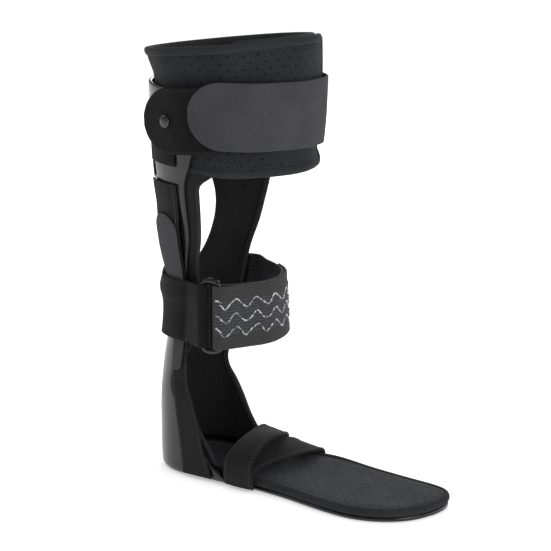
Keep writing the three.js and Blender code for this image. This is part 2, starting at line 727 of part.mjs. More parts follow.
function gripWave(middle) {
  const face = outlineOfRun(outerLayerRun(middle), ELASTIC_THICK + 2 * WAVE_CLEAR).right;
  const lengths = [0];
  for (let i = 1; i < face.length; i += 1) lengths.push(lengths[i - 1] + face[i].distanceTo(face[i - 1]));
  const last = lengths[lengths.length - 1] - WAVE.stop;
  const at = (s, lift) => {
    let i = 1;
    while (i < lengths.length - 1 && lengths[i] < s) i += 1;
    const along = face[i].clone().sub(face[i - 1]).normalize();
    const p = face[i - 1].clone().addScaledVector(along, s - lengths[i - 1]);
    return p.addScaledVector(new THREE.Vector2(along.y, -along.x), lift);
  };
  return sheet(
    (u, v, depth) => {
      const s = lerp(WAVE.start, last, u);
      const z = middle + (WAVE.height / 2) * Math.cos((2 * Math.PI * s) / WAVE.length) + (v - 0.5) * WAVE.width;
      const p = at(s, depth ? 0 : WAVE.thick);
      return new THREE.Vector3(p.x, p.y, z);
    },
    32,
    1,
  );
}

function buildAnkleStrap() {
  add("ankle_loop_strap", planBand(loopStrapRun, ANKLE_STRAP_LOW, ANKLE_HIGH, STRAP_THICK, 4), LOOP);
  const inner = planBand(elasticRun, ANKLE_STRAP_LOW, ANKLE_HIGH, ELASTIC_THICK, 1);
  add("ankle_elastic_inner", inner, ELASTIC);
  const outer = planBand(outerLayerRun, ANKLE_STRAP_LOW, ANKLE_HIGH, ELASTIC_THICK, 1);
  add("ankle_elastic_outer", outer, ELASTIC);
  const middle = (ANKLE_STRAP_LOW + ANKLE_HIGH) / 2;
  [1, 0, -1].forEach((row, i) => add(`grip_wave_${i + 1}`, gripWave(middle + row * WAVE.spacing), SILICONE));
}

function buildRing() {
  const corner = 5;
  const along = RING.front.clone().sub(RING.rear);
  const width = along.length();
  along.normalize();
  const points = [];
  const corners = [
    [width - corner, RING.high - corner, 0], [corner, RING.high - corner, 90],
    [corner, RING.low + corner, 180], [width - corner, RING.low + corner, 270],
  ];
  for (const [s, z, start] of corners) {
    for (let turn = 0; turn <= 90; turn += 22.5) {
      const across = s + corner * Math.cos(rad(start + turn));
      const height = z + corner * Math.sin(rad(start + turn));
      points.push(new THREE.Vector3(RING.rear.x + along.x * across, RING.rear.y + along.y * across, height));
    }
  }
  add("ankle_ring", closedBar(points, RING.bar, 10), PLASTIC);
}

// ---------------------------------------------------------------- foot straps
// Outer edges of each strap, from the lateral side of the sole over the instep to the medial side.
const CLOSING_STRAP = {
  rear: [
    [78, -37, 1.2], [78.5, -39.5, 12], [79, -36.5, 24], [77.5, -22, 30.5], [75, -3, 32.8], [68.5, 16, 31],
    [62, 36, 27], [56.5, 43.5, 17.5], [55, 44, 6],
  ],
  front: [
    [105, -37, 1.2], [105.5, -40.5, 11], [105, -38, 23.5], [103.5, -22, 33], [104, -2, 36.5], [97.5, 18, 31.5],
    [88.5, 34, 23.5], [81, 43, 14], [79.5, 44.5, 6],
  ],
};
const LOWER_STRAP = {
  rear: [
    [79, -34.4, 1.2], [80, -36, 12], [82, -33, 22.5], [87, -18, 29], [91, 0, 30.6], [93.5, 16, 27.8],
    [94, 30, 24], [92.5, 42, 16], [92, 44.5, 5],
  ],
  front: [
    [103, -34.4, 1.2], [103.5, -35.8, 8], [105.5, -32.5, 17], [110.5, -16, 20.3], [113.7, 0, 20], [116, 16, 19.5],
    [117, 30, 17.5], [115.5, 43.5, 14.5], [114.5, 47, 5],
  ],
};
const TOP_STOP = 4; // the point of the closing strap where its free end starts

// A strap between two edge curves, over the part of their length from one share to another.
function edgeStrap({ rear, front }, from, to, thick, steps) {
  const curve = (points) => new THREE.CatmullRomCurve3(points.map((p) => new THREE.Vector3(...p)));
  const rearCurve = curve(rear);
  const frontCurve = curve(front);
  return sheet(
    (u, v, depth) => {
      const t = lerp(from, to, u);
      const a = rearCurve.getPoint(t);
      const b = frontCurve.getPoint(t);
      const along = rearCurve.getTangent(t).add(frontCurve.getTangent(t));
      const out = b.clone().sub(a).cross(along).normalize();
      return a.lerp(b, v).addScaledVector(out, depth ? -thick : 0);
    },
    steps,
    2,
  );
}

function buildFootStraps() {
  const split = TOP_STOP / (CLOSING_STRAP.rear.length - 1);
  add("foot_strap_lower", edgeStrap(LOWER_STRAP, 0, 1, 1.6, 20), WEBBING);
  add("foot_strap_end", edgeStrap(CLOSING_STRAP, 0, split, STRAP_THICK, 11), WEBBING);
  add("foot_strap_base", edgeStrap(CLOSING_STRAP, split + 0.005, 1, STRAP_THICK, 11), WEBBING);
}

buildShell();
buildCuff();
buildLinings();
buildFootbed();
buildSideBands();
buildCalfStrap();
buildRivets();
buildAnkleStrap();
buildRing();
buildFootStraps();

export default orthosis;
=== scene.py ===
"""Looks of the ankle foot orthosis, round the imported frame.

Lengths in the shape functions are millimetres with x counted from the back of the heel, as in the part's
own source; Piece.object() moves every mesh to the part's origin and turns it into metres.
Angles round the leg are degrees from straight behind, positive towards the lateral side (-Y).
"""
import json
import math
import bpy
import numpy as np
from mathutils import Matrix, Vector


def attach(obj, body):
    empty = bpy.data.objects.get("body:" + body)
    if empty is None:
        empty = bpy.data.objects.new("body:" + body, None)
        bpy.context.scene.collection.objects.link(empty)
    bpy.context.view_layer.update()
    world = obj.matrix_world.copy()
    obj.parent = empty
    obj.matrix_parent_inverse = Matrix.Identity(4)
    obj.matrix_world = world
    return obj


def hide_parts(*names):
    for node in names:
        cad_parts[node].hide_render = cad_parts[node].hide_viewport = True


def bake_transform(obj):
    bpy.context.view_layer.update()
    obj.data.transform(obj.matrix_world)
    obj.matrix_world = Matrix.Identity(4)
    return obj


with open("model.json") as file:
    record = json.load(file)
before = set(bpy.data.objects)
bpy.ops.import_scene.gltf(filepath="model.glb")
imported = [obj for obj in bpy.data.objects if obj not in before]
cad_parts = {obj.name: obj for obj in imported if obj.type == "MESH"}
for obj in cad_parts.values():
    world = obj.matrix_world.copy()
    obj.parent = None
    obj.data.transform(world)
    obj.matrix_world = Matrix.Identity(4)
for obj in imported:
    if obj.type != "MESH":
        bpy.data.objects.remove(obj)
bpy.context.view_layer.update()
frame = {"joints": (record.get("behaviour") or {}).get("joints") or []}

# ---- driving dimensions
MM = 0.001
UP = np.array([0.0, 0.0, 1.0])
HEEL_CENTRE = 33.5
GAP = 0.6
CALF_RADIUS = 65.0
SHELL_WALL = 3.0
SHELL_TOP = 308.0
LEG_TURN = 10.0
PLATE_THICK = 3.0
FOOTBED_TOP = 10.0
SLEEVE_THICK = 1.6
SLEEVE_END_THICK = 0.9
HOOK_THICK = 1.2
STRAP_THICK = 1.8
ELASTIC_THICK = 2.0
CALF_STRAP_WIDTH = 51.0
CALF_TAB_WIDTH = 50.0
ANKLE_LOW = 111.0
ANKLE_HIGH = 160.0
WINDOW_Z = 200.0
WINDOW_HALF_HEIGHT = 50.0
WINDOW_ANGLE, WINDOW_HALF_ANGLE = 1.0, 45.0

# Height, centre x and radius of the shell's outer face.
LEG_ROWS = np.array([
    [0, 33.5, 32.6], [3, 34, 35.2], [8, 34.3, 36], [30, 35, 37], [60, 37, 38.3], [90, 40, 37.8],
    [110, 42.5, 36.9], [140, 46.5, 38.8], [170, 50.5, 43.6], [200, 55, 50.6], [235, 59.5, 59.4],
    [270, 61.5, 63], [308, 62, 64.5], [352, 62, 65],
])
# Height and half angle of the front edges of the shell, and of the lining inside it.
SHELL_EDGE = np.array([
    [0, 165], [4, 158], [12, 138], [23, 122], [34, 109], [46, 98], [58, 86], [72, 73], [86, 72], [110, 73],
    [140, 75], [170, 77], [192, 80], [235, 79], [252, 84], [278, 90], [297, 91], [303, 88], [308, 78],
])
LINING_EDGE = np.array([
    [12, 138], [23, 124], [34, 111], [46, 99], [58, 86.5], [70, 73.5], [78, 69.5], [86, 71.5], [102, 79],
    [120, 85], [140, 88], [170, 90], [192, 94], [243, 94],
])
# Height, rear angle and front angle of the fabric bands on the sides.
SLEEVE_ROWS = np.array([
    [2, 96, 141], [9, 95.5, 137], [24, 92.5, 127], [45, 87.5, 119], [65, 82, 106.5], [76, 79, 99.5],
    [86, 77, 97], [110, 73, 93], [140, 64, 89.5], [170, 54, 86], [200, 50, 84], [236, 50, 83],
])
HOOK_ROWS = np.array([[88, 78, 90], [104, 75.5, 90.5], [140, 66, 88], [170, 55, 85.5], [210, 51.5, 82]])


# ---- numbers and curves
def lerp(a, b, share):
    return a + (b - a) * share


def smoothstep(x, low, high):
    t = np.clip((x - low) / (high - low), 0, 1)
    return t * t * (3 - 2 * t)


def unit(vectors):
    return vectors / np.maximum(np.linalg.norm(vectors, axis=-1, keepdims=True), 1e-9)


def column(rows, z, index):
    """Smooth value of a table column at a height."""
    z = np.asarray(z, float)
    last = len(rows) - 1
    i = np.clip(np.searchsorted(rows[:, 0], z), 1, last)

    def slope(k):
        a, b = rows[np.maximum(k - 1, 0)], rows[np.minimum(k + 1, last)]
        return (b[..., index] - a[..., index]) / (b[..., 0] - a[..., 0])

    span = rows[i, 0] - rows[i - 1, 0]
    t = np.clip((z - rows[i - 1, 0]) / span, 0, 1)
    return (
        (2 * t**3 - 3 * t**2 + 1) * rows[i - 1, index]
        + (t**3 - 2 * t**2 + t) * span * slope(i - 1)
        + (3 * t**2 - 2 * t**3) * rows[i, index]
        + (t**3 - t**2) * span * slope(i)
    )


def leg_point(angle, z, offset):
    """A point on the shell's outer face, moved out by offset. Low down the sides run straight forward."""
    angle, z, offset = np.broadcast_arrays(*(np.asarray(v, float) for v in (angle, z, offset)))
    centre = column(LEG_ROWS, z, 1)
    radius = column(LEG_ROWS, z, 2)
    past = np.abs(angle) - 90
    foot = np.where(past > 0, 1 - smoothstep(z, 45, 110), 0)
    forward = lerp(np.sin(np.radians(past)) * (radius + offset), np.radians(past) * radius, foot)
    sideways = lerp(np.cos(np.radians(past)) * (radius + offset), radius + offset, foot)
    return np.stack([centre + forward, np.where(angle < 0, 1, -1) * sideways, z], axis=-1)


def leg_turn(z):
    return LEG_TURN * smoothstep(z, 60, 150)


def lining_edge(side, z, beyond=0.0):
    """Angle of the lining's front edge on one side, moved forward by a distance."""
    shorter = 9 * smoothstep(z, 110, 185) if side > 0 else 0
    corner = 14 * smoothstep(z, 230, 247) ** 2
    half = column(LINING_EDGE, z, 1) - shorter + corner + np.degrees(beyond / column(LEG_ROWS, z, 2))
    return side * half + leg_turn(z)


def on_leg(angle, z, offset):
    """Points on the leg and the outward directions there."""
    middle = leg_point(angle, z, offset)
    return middle, unit(leg_point(angle, z, np.asarray(offset) + 1) - middle)


def rim_height(angle):
    turn = np.radians(angle)
    return 337.5 - 8.6 * np.cos(turn) + 2.9 * np.sin(turn)


def resample(points, count):
    """Evenly spaced points along a smooth curve through the given ones."""
    points = np.asarray(points, float)
    padded = np.vstack([2 * points[0] - points[1], points, 2 * points[-1] - points[-2]])
    t = np.linspace(0, 1, 12, endpoint=False)[:, None]
    dense = []
    for a, b, c, d in zip(padded, padded[1:], padded[2:], padded[3:]):
        square = (2 * a - 5 * b + 4 * c - d) * t**2
        cube = (3 * b - a - 3 * c + d) * t**3
        dense.append(0.5 * (2 * b + (c - a) * t + square + cube))
    dense = np.vstack(dense + [points[-1:]])
    lengths = np.concatenate([[0], np.cumsum(np.linalg.norm(np.diff(dense, axis=0), axis=1))])
    stops = np.linspace(0, lengths[-1], count)
    return np.stack([np.interp(stops, lengths, dense[:, k]) for k in range(dense.shape[1])], axis=-1)


def near_edge(edge):
    """Distances from an edge, close together where it is rounded."""
    return edge * np.array([0, 0.08, 0.3, 0.62, 1.0])


def stops(length, edge=1.0, step=4.0):
    """Shares of a length: close together within edge of both ends, then every step."""
    near = near_edge(edge)
    count = max(2, round((length - 2 * edge) / step))
    middle = np.linspace(edge, length - edge, count + 1)[1:-1]
    return np.concatenate([near, middle, length - near[::-1]]) / length


def right_of(path):
    """Unit directions to the right of a plan path."""
    along = unit(np.gradient(path, axis=0))
    return np.stack([along[..., 1], -along[..., 0]], axis=-1)


def level(directions):
    """Plan directions as level directions in space."""
    return np.concatenate([directions, 0 * directions[..., :1]], axis=-1)


def travelled(points, axis):
    """Distance along each grid line from its first point."""
    steps = np.linalg.norm(np.diff(points, axis=axis), axis=-1)
    first = np.zeros_like(np.take(steps, [0], axis=axis))
    return np.concatenate([first, np.cumsum(steps, axis=axis)], axis=axis)


# ---- meshes
def show(made):
    bpy.context.scene.collection.objects.link(made)


class Piece:
    """Collects the surfaces of one visible piece, then makes its object."""

    def __init__(self):
        self.points, self.faces, self.uvs, self.slots = [], [], [], []
        self.count = 0

    def add(self, points, faces, uvs, slot=0):
        faces = np.asarray(faces)
        a, b, c = (points[faces[:, k]] for k in range(3))
        volume = np.einsum("ij,ij->", a, np.cross(b, c))
        if faces.shape[1] == 4:
            volume += np.einsum("ij,ij->", a, np.cross(c, points[faces[:, 3]]))
        if volume < 0:
            faces = faces[:, ::-1]
        self.points.append(points)
        self.uvs.append(uvs)
        self.faces.extend((faces + self.count).tolist())
        self.slots.extend([slot] * len(faces))
        self.count += len(points)

    def sheet(self, middle, out, thick, edge=0.8, slot=0, relief=None, low_edge=0.0, uv=None):
        """A closed sheet round a grid of middle points, with rounded edges.

        relief(along, across, gap) raises the outer face, and low_edge thins the sheet towards its edges.
        """
        along, across = travelled(middle, 0), travelled(middle, 1)
        gap = np.minimum(np.minimum(along, along[-1:] - along), np.minimum(across, across[:, -1:] - across))
        round_share = np.sqrt(1 - (1 - np.clip(gap / edge, 0, 1)) ** 2)
        half = thick / 2 * round_share * (1 - low_edge * np.exp(-gap / 2.5))
        lift = relief(along, across, gap) * np.clip(gap / edge, 0, 1) if relief else 0
        outer = middle + out * (half + lift)[..., None] if relief else middle + out * half[..., None]
        inner = middle - out * half[..., None]
        if uv is None:
            centre_line = along[:, [middle.shape[1] // 2]]
            uv = np.stack([centre_line + 0 * across, across - across[:, -1:] / 2], axis=-1)
        n, m = gap.shape
        top = np.arange(n * m).reshape(n, m)
        inside = np.zeros((n, m), bool)
        inside[1:-1, 1:-1] = True
        under = top.copy()
        under[inside] = n * m + np.arange(inside.sum())
        points = np.vstack([outer.reshape(-1, 3), inner[inside]])
        uvs = np.vstack([uv.reshape(-1, 2), uv[inside]])
        faces = np.vstack([self.quads(top), self.quads(under)[:, ::-1]])
        self.add(points, faces, uvs, slot)

    def leg_sheet(self, angle, z, offset, thick, edge, **options):
        """A sheet that follows the leg; its middle is offset from the shell's outer face."""
        middle, out = on_leg(angle, z, offset)
        self.sheet(middle, out, thick, edge, **options)

    @staticmethod
    def quads(ids):
        corners = (ids[:-1, :-1], ids[1:, :-1], ids[1:, 1:], ids[:-1, 1:])
        return np.stack([c.ravel() for c in corners], axis=-1)

    def tube(self, path, radius, out, sides=8, slot=0, closed=False, flat=1.0):
        """A round bar along a path. out is the direction in which flat scales its section."""
        path = np.asarray(path, float)
        count = len(path)
        if closed:
            along = np.roll(path, -1, axis=0) - np.roll(path, 1, axis=0)
        else:
            along = np.gradient(path, axis=0)
        along = unit(along)
        side = unit(np.cross(along, out))
        up = np.cross(side, along)
        turn = np.linspace(0, 2 * math.pi, sides, endpoint=False)
        size = np.broadcast_to(np.asarray(radius, float), (count,))[:, None, None]
        ring = side[:, None] * np.cos(turn)[:, None] + up[:, None] * (flat * np.sin(turn))[:, None]
        points = (path[:, None] + ring * size).reshape(-1, 3)
        ids = np.arange(count * sides).reshape(count, sides)
        ids = np.hstack([ids, ids[:, :1]])
        if closed:
            ids = np.vstack([ids, ids[:1]])
        faces = self.quads(ids)
        lengths = travelled(path[:, None], 0)[:, 0]
        uvs = np.broadcast_arrays(lengths[:, None], (turn * np.mean(size))[None, :])
        uvs = np.stack(uvs, axis=-1).reshape(-1, 2)
        if not closed:
            points = np.vstack([points, path[:1], path[-1:]])
            uvs = np.vstack([uvs, uvs[:1], uvs[-1:]])
            first, last = count * sides, count * sides + 1
            start = [[first, ids[0, k + 1], ids[0, k], ids[0, k]] for k in range(sides)]
            finish = [[last, ids[-1, k], ids[-1, k + 1], ids[-1, k + 1]] for k in range(sides)]
            faces = np.vstack([faces, start, finish])
        self.add(points, faces, uvs, slot)

    def stitches(self, path, out, slot=1, length=2.4, pitch=3.2, radius=0.26):
        """A row of sewn stitches lying on a surface."""
        out = np.broadcast_to(out, path.shape)
        distance = np.concatenate([[0], np.cumsum(np.linalg.norm(np.diff(path, axis=0), axis=1))])
        for start in np.arange(pitch / 2, distance[-1] - length, pitch):
            at = start + length * np.linspace(0, 1, 5)
            centre = np.stack([np.interp(at, distance, path[:, k]) for k in range(3)], axis=-1)
            up = unit(np.stack([np.interp(at, distance, out[:, k]) for k in range(3)], axis=-1))
            sink = radius * np.array([-1.1, 0.1, 0.3, 0.1, -1.1])
            size = radius * np.array([0.5, 1, 1.05, 1, 0.5])
            self.tube(centre + up * sink[:, None], size, up, 6, slot)

    def revolve(self, profile, centre, axis, segments=40, slot=0):
        """A closed turned body: profile holds radius and height pairs from axis to axis."""
        axis = unit(np.asarray(axis, float))
        side = unit(np.cross(axis, UP))
        up = np.cross(side, axis)
        turn = np.linspace(0, 2 * math.pi, segments, endpoint=False)
        spoke = side * np.cos(turn)[:, None] + up * np.sin(turn)[:, None]
        profile = np.asarray(profile, float)
        points = centre + spoke * profile[:, 0][:, None, None] + axis * profile[:, 1][:, None, None]
        ids = np.arange(len(profile) * segments).reshape(len(profile), segments)
        ids = np.hstack([ids, ids[:, :1]])
        uvs = np.zeros((len(profile) * segments, 2))
        self.add(points.reshape(-1, 3), self.quads(ids), uvs, slot)

    def object(self, name, materials):
        """The mesh in metres at the part's origin, with real millimetres in its UV layer."""
        points = (np.vstack(self.points) - [HEEL_CENTRE, 0, 0]) * MM
        faces = [list(dict.fromkeys(face)) for face in self.faces]
        mesh = bpy.data.meshes.new(name)
        mesh.from_pydata(points.tolist(), [], faces)
        for material in materials:
            mesh.materials.append(material)
        mesh.polygons.foreach_set("material_index", self.slots)
        mesh.polygons.foreach_set("use_smooth", [True] * len(faces))
        corner = np.zeros(len(mesh.loops), np.int32)
        mesh.loops.foreach_get("vertex_index", corner)
        uvs = np.vstack(self.uvs)[corner].astype(np.float32)
        mesh.uv_layers.new(name="mm").data.foreach_set("uv", uvs.ravel())
        mesh.validate()
        mesh.update()
        made = bpy.data.objects.new(name, mesh)
        show(made)
        weld(made)
        return made


def weld(made):
    """Joins points that fell together where a strip narrows to nothing."""
    import bmesh

    work = bmesh.new()
    work.from_mesh(made.data)
    bmesh.ops.remove_doubles(work, verts=work.verts, dist=1e-6)
    bmesh.ops.dissolve_degenerate(work, edges=work.edges, dist=1e-7)
    work.to_mesh(made.data)
    work.free()


def dress(made, nodes, body="brace", blend=None):
    """The piece stands for CAD nodes, which it hides, and rides on a body; with blend set it only has its
    transform baked in.
    """
    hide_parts(*nodes)
    if blend:
        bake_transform(made)
    else:
        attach(made, body)
    return made


# ---- materials
class Shader:
    """A node material with short calls for the sums and patterns used below."""

    def __init__(self, name):
        self.material = bpy.data.materials.new(name)
        self.material.use_nodes = True
        self.tree = self.material.node_tree
        self.surface = self.tree.nodes["Principled BSDF"]

    def node(self, kind, inputs=None, **settings):
        made = self.tree.nodes.new(kind)
        for key, value in settings.items():
            setattr(made, key, value)
        for key, value in (inputs or {}).items():
            self.feed(made.inputs[key], value)
        return made

    def feed(self, socket, value):
        if isinstance(value, bpy.types.NodeSocket):
            self.tree.links.new(value, socket)
        else:
            socket.default_value = value

    def sum(self, operation, a, b=0.0, c=0.0):
        return self.node("ShaderNodeMath", {0: a, 1: b, 2: c}, operation=operation).outputs[0]

    def plus(self, a, b):
        return self.sum("ADD", a, b)

    def times(self, a, b):
        return self.sum("MULTIPLY", a, b)

    def wave(self, distance, pitch, shift=0.0):
        """0 to 1 and back, once every pitch."""
        turn = self.sum("MULTIPLY_ADD", distance, 2 * math.pi / pitch, shift)
        return self.sum("MULTIPLY_ADD", self.sum("SINE", turn), 0.5, 0.5)

    def real(self):
        """Distances along and across the cloth, in millimetres."""
        uv = self.node("ShaderNodeUVMap", uv_map="mm").outputs[0]
        split = self.node("ShaderNodeSeparateXYZ", {0: uv})
        return split.outputs[0], split.outputs[1]

    def noise(self, size_mm, detail=2.0, stretch=(1, 1, 1)):
        place = self.node("ShaderNodeTexCoord").outputs["Object"]
        scaled = self.node("ShaderNodeMapping", {0: place, "Scale": stretch}).outputs[0]
        made = self.node("ShaderNodeTexNoise", {"Vector": scaled, "Scale": 1000 / size_mm, "Detail": detail})
        return made.outputs["Fac"]

    def ramp(self, value, low, high, to_low=0.0, to_high=1.0):
        made = self.node("ShaderNodeMapRange", {0: value, 1: low, 2: high, 3: to_low, 4: to_high})
        made.interpolation_type = "SMOOTHSTEP"
        return made.outputs[0]

    def mix(self, share, a, b, blend="MIX"):
        made = self.node("ShaderNodeMix", data_type="RGBA", blend_type=blend)
        for socket, value in zip((made.inputs[0], made.inputs[6], made.inputs[7]), (share, a, b)):
            self.feed(socket, value)
        return made.outputs[2]

    def shade(self, share, colour):
        """The colour times a grey share."""
        grey_level = self.node("ShaderNodeCombineColor", {0: share, 1: share, 2: share}).outputs[0]
        return self.mix(1.0, colour, grey_level, "MULTIPLY")

    def bump(self, height, depth_mm, below=None):
        inputs = {"Height": height, "Strength": 1.0, "Distance": depth_mm * MM}
        if below:
            inputs["Normal"] = below
        return self.node("ShaderNodeBump", inputs).outputs[0]

    def finish(self, **inputs):
        for key, value in inputs.items():
            self.feed(self.surface.inputs[key.replace("_", " ")], value)
        return self.material


def grey(value, red=1.0, blue=1.0):
    """A near-neutral colour from an 8-bit screen value."""
    level = (value / 255) ** 2.2
    return (level * red, level, level * blue, 1.0)


def perforations(shader, along, across, pitch=10.3, row=5.2, radius=0.75):
    """1 inside staggered round holes, 0 outside."""
    def cell(shift_along, shift_across):
        a = shader.sum("PINGPONG", shader.plus(along, 500 * pitch + shift_along), pitch / 2)
        b = shader.sum("PINGPONG", shader.plus(across, 500 * row + shift_across), row)
        square = shader.plus(shader.times(a, a), shader.times(b, b))
        return shader.sum("SQRT", square)

    nearest = shader.sum("MINIMUM", cell(0, 0), cell(pitch / 2, row))
    return shader.ramp(nearest, radius * 0.7, radius * 1.35, 1.0, 0.0)


def cloth(name, colour, weave=(0.9, 0.9), depth=0.1, contrast=0.35, fuzz=0.0, holes=False, sheen=0.04,
          rough=0.92, blotch=0.25):
    """Woven or brushed cloth: threads, flecks, worn patches, and holes if asked, darkened with painted shade.
    """
    s = Shader(name)
    along, across = s.real()
    threads = s.times(s.wave(along, weave[0]), s.wave(across, weave[1], math.pi / 2))
    flecks = s.noise(1.6 if fuzz else 0.9, 4.0)
    patches = s.noise(28, 3.0)
    height = s.plus(s.times(threads, 1 - fuzz), s.times(flecks, 0.6 + 1.6 * fuzz))
    light = s.plus(s.times(threads, contrast * (1 - 0.6 * fuzz)),
                  s.times(s.ramp(flecks, 0.3, 0.7), contrast * (0.5 + fuzz)))
    light = s.plus(light, s.ramp(patches, 0.35, 0.65, -blotch / 2, blotch / 2))
    shade = s.plus(light, 1 - 0.45 * contrast)
    bumped = s.bump(height, depth)
    if holes:
        hole = perforations(s, along, across)
        # Inside the holes the colour is darkened to 0.12: painted shade in the holes.
        shade = s.times(shade, s.ramp(hole, 0, 1, 1.0, 0.12))
        bumped = s.bump(s.sum("SUBTRACT", 1.0, hole), 0.35, bumped)
    return s.finish(
        Base_Color=s.shade(shade, colour),
        Roughness=s.ramp(flecks, 0.2, 0.8, rough, rough - 0.12),
        Normal=bumped,
        Sheen_Weight=sheen,
        Sheen_Roughness=0.5,
        Specular_IOR_Level=0.12,
    )


def elastic_cloth(name, colour, band_colour):
    """Ribbed elastic: cords along the edges, a smoother band with fine cross threads in the middle."""
    s = Shader(name)
    along, across = s.real()
    from_middle = s.sum("ABSOLUTE", across)
    in_band = s.ramp(from_middle, 12.5, 14.0, 1.0, 0.0)
    cords = s.times(s.wave(across, 1.7), s.plus(0.6, s.times(s.wave(along, 2.2), 0.4)))
    cross = s.times(s.wave(along, 1.8), s.wave(across, 2.4))
    flecks = s.noise(0.8, 3.0)
    texture = s.node("ShaderNodeMix", {0: in_band, 2: cords, 3: cross}).outputs[0]
    shade = s.plus(s.times(texture, 0.9), s.ramp(flecks, 0.3, 0.7, 0.3, 0.7))
    return s.finish(
        Base_Color=s.shade(shade, s.mix(in_band, colour, band_colour)),
        Roughness=s.ramp(flecks, 0.2, 0.8, 0.9, 0.75),
        Normal=s.bump(s.plus(texture, flecks), 0.14),
        Sheen_Weight=0.04,
        Specular_IOR_Level=0.2,
    )


def moulded_plastic(name, colour, rough=0.2):
    """Glossy moulded plastic with slight waviness, fine scratches and duller rubbed patches."""
    s = Shader(name)
    wavy = s.noise(26, 1.0)
    scratches = s.noise(3.0, 5.0, (1, 1, 0.08))
    rubbed = s.noise(35, 4.0)
    shade = s.plus(s.ramp(scratches, 0.35, 0.7, -0.1, 0.15), s.ramp(rubbed, 0.4, 0.65, 0.9, 1.15))
    dull = s.ramp(rubbed, 0.35, 0.7, rough, rough + 0.12)
    return s.finish(
        Base_Color=s.shade(shade, colour),
        Roughness=s.plus(dull, s.ramp(scratches, 0.5, 0.75, 0, 0.1)),
        Normal=s.bump(scratches, 0.012, s.bump(wavy, 0.1)),
        IOR=1.49,
    )


def dark_metal(name):
    s = Shader(name)
    brushed = s.noise(0.6, 4.0)
    return s.finish(
        Base_Color=s.shade(s.ramp(brushed, 0.3, 0.7, 0.8, 1.2), grey(70)),
        Metallic=0.85,
        Roughness=s.ramp(brushed, 0.2, 0.8, 0.22, 0.4),
        Normal=s.bump(brushed, 0.02),
    )


def grip_rubber(name):
    """Translucent silicone beads with tiny specks; the brightest specks are painted glints."""
    s = Shader(name)
    specks_and_glints = s.noise(2.6, 3.0)
    return s.finish(
        # The colour swings from dark to bright with the speck noise; its bright specks are painted glints.
        Base_Color=s.shade(s.ramp(specks_and_glints, 0.36, 0.68, 0.1, 2.0), grey(140)),
        Roughness=s.ramp(specks_and_glints, 0.3, 0.7, 0.12, 0.35),
        Normal=s.bump(specks_and_glints, 0.25),
        Coat_Weight=0.5,
    )


def thread(name, value):
    s = Shader(name)
    along, across = s.real()
    twist = s.wave(s.plus(along, across), 0.5)
    return s.finish(
        Base_Color=s.shade(s.plus(s.times(twist, 0.5), 0.7), grey(value)),
        Roughness=0.8,
        Normal=s.bump(twist, 0.06),
    )


PLASTIC = moulded_plastic("shell_plastic", grey(26))
RING_PLASTIC = moulded_plastic("ring_plastic", grey(30), 0.16)
LINER = cloth("liner_fabric", grey(39, 0.96, 1.12), (1.1, 1.1), 0.12, 0.35, 0.3, True)
FOOTBED = cloth("footbed_fabric", grey(52, 0.97, 1.14), (1.2, 1.2), 0.14, 0.45, 0.35, True)
PLAIN_LINER = cloth("lining_fabric", grey(35, 1.0, 1.05), (1.1, 1.1), 0.1, 0.3, 0.3)
BINDING = cloth("binding_fabric", grey(43, 0.97, 1.08), (0.9, 1.2), 0.12, 0.4, 0.1)
LOOP = cloth("loop_fabric", grey(20), (1.4, 1.4), 0.35, 0.5, 0.85, sheen=0.06)
LOOP_STRAP = cloth("loop_strap_fabric", grey(23), (1.8, 1.8), 0.3, 0.5, 0.6, sheen=0.06)
HOOK = cloth("hook_fabric", grey(60, 1.0, 1.06), (1.25, 1.25), 0.1, 0.25, 0.15, sheen=0.03, blotch=0.15)
WEBBING = cloth("strap_webbing", grey(33, 1.0, 1.03), (1.5, 0.9), 0.16, 0.45, 0.15)
ELASTIC = elastic_cloth("elastic_fabric", grey(58), grey(67, 0.98, 1.2))
SILICONE = grip_rubber("silicone")
RIVET_METAL = dark_metal("rivet_metal")
THREAD = thread("thread", 62)
DARK_THREAD = thread("dark_thread", 40)


# ---- cutting and joining
def apply_modifiers(made):
    graph = bpy.context.evaluated_depsgraph_get()
    mesh = bpy.data.meshes.new_from_object(made.evaluated_get(graph))
    made.modifiers.clear()
    made.data = mesh


def combine(made, other, operation):
    """Cuts another mesh away, or joins it on, and removes it."""
    modifier = made.modifiers.new(operation, "BOOLEAN")
    modifier.solver = "EXACT"
    modifier.operation = operation
    modifier.object = other
    apply_modifiers(made)
    bpy.data.objects.remove(other)


def leg_peg(angles, heights, reach):
    """A cutter through the leg's wall with an outline in angles and heights."""
    piece = Piece()
    outer = leg_point(angles, heights, reach)
    inner = leg_point(angles, heights, -reach)
    count = len(angles)
    ids = np.arange(2 * count).reshape(2, count)
    ids = np.hstack([ids, ids[:, :1]])
    centres = np.stack([outer.mean(axis=0), inner.mean(axis=0)])
    caps = [[2 * count, ids[0, k], ids[0, k + 1], ids[0, k + 1]] for k in range(count)]
    caps += [[2 * count + 1, ids[1, k + 1], ids[1, k], ids[1, k]] for k in range(count)]
    points = np.vstack([outer, inner, centres])
    piece.add(points, np.vstack([Piece.quads(ids), caps]), np.zeros((len(points), 2)))
    return piece.object("cutter", [])


def window_edge(turn, margin=0.0):
    """Angles and heights on the window's outline, pulled in by a margin."""
    z = WINDOW_Z + (WINDOW_HALF_HEIGHT - margin) * np.sin(turn)
    return (WINDOW_HALF_ANGLE - margin) * np.cos(turn) + WINDOW_ANGLE, z


# ---- shell
SHELL_ROUND = 1.4  # the shell's edges are rounded over this distance
SLOT_ANGLE, SLOT_HALF_ANGLE, SLOT_Z, SLOT_HALF_HEIGHT = 50.0, 4.5, 243.0, 6.0


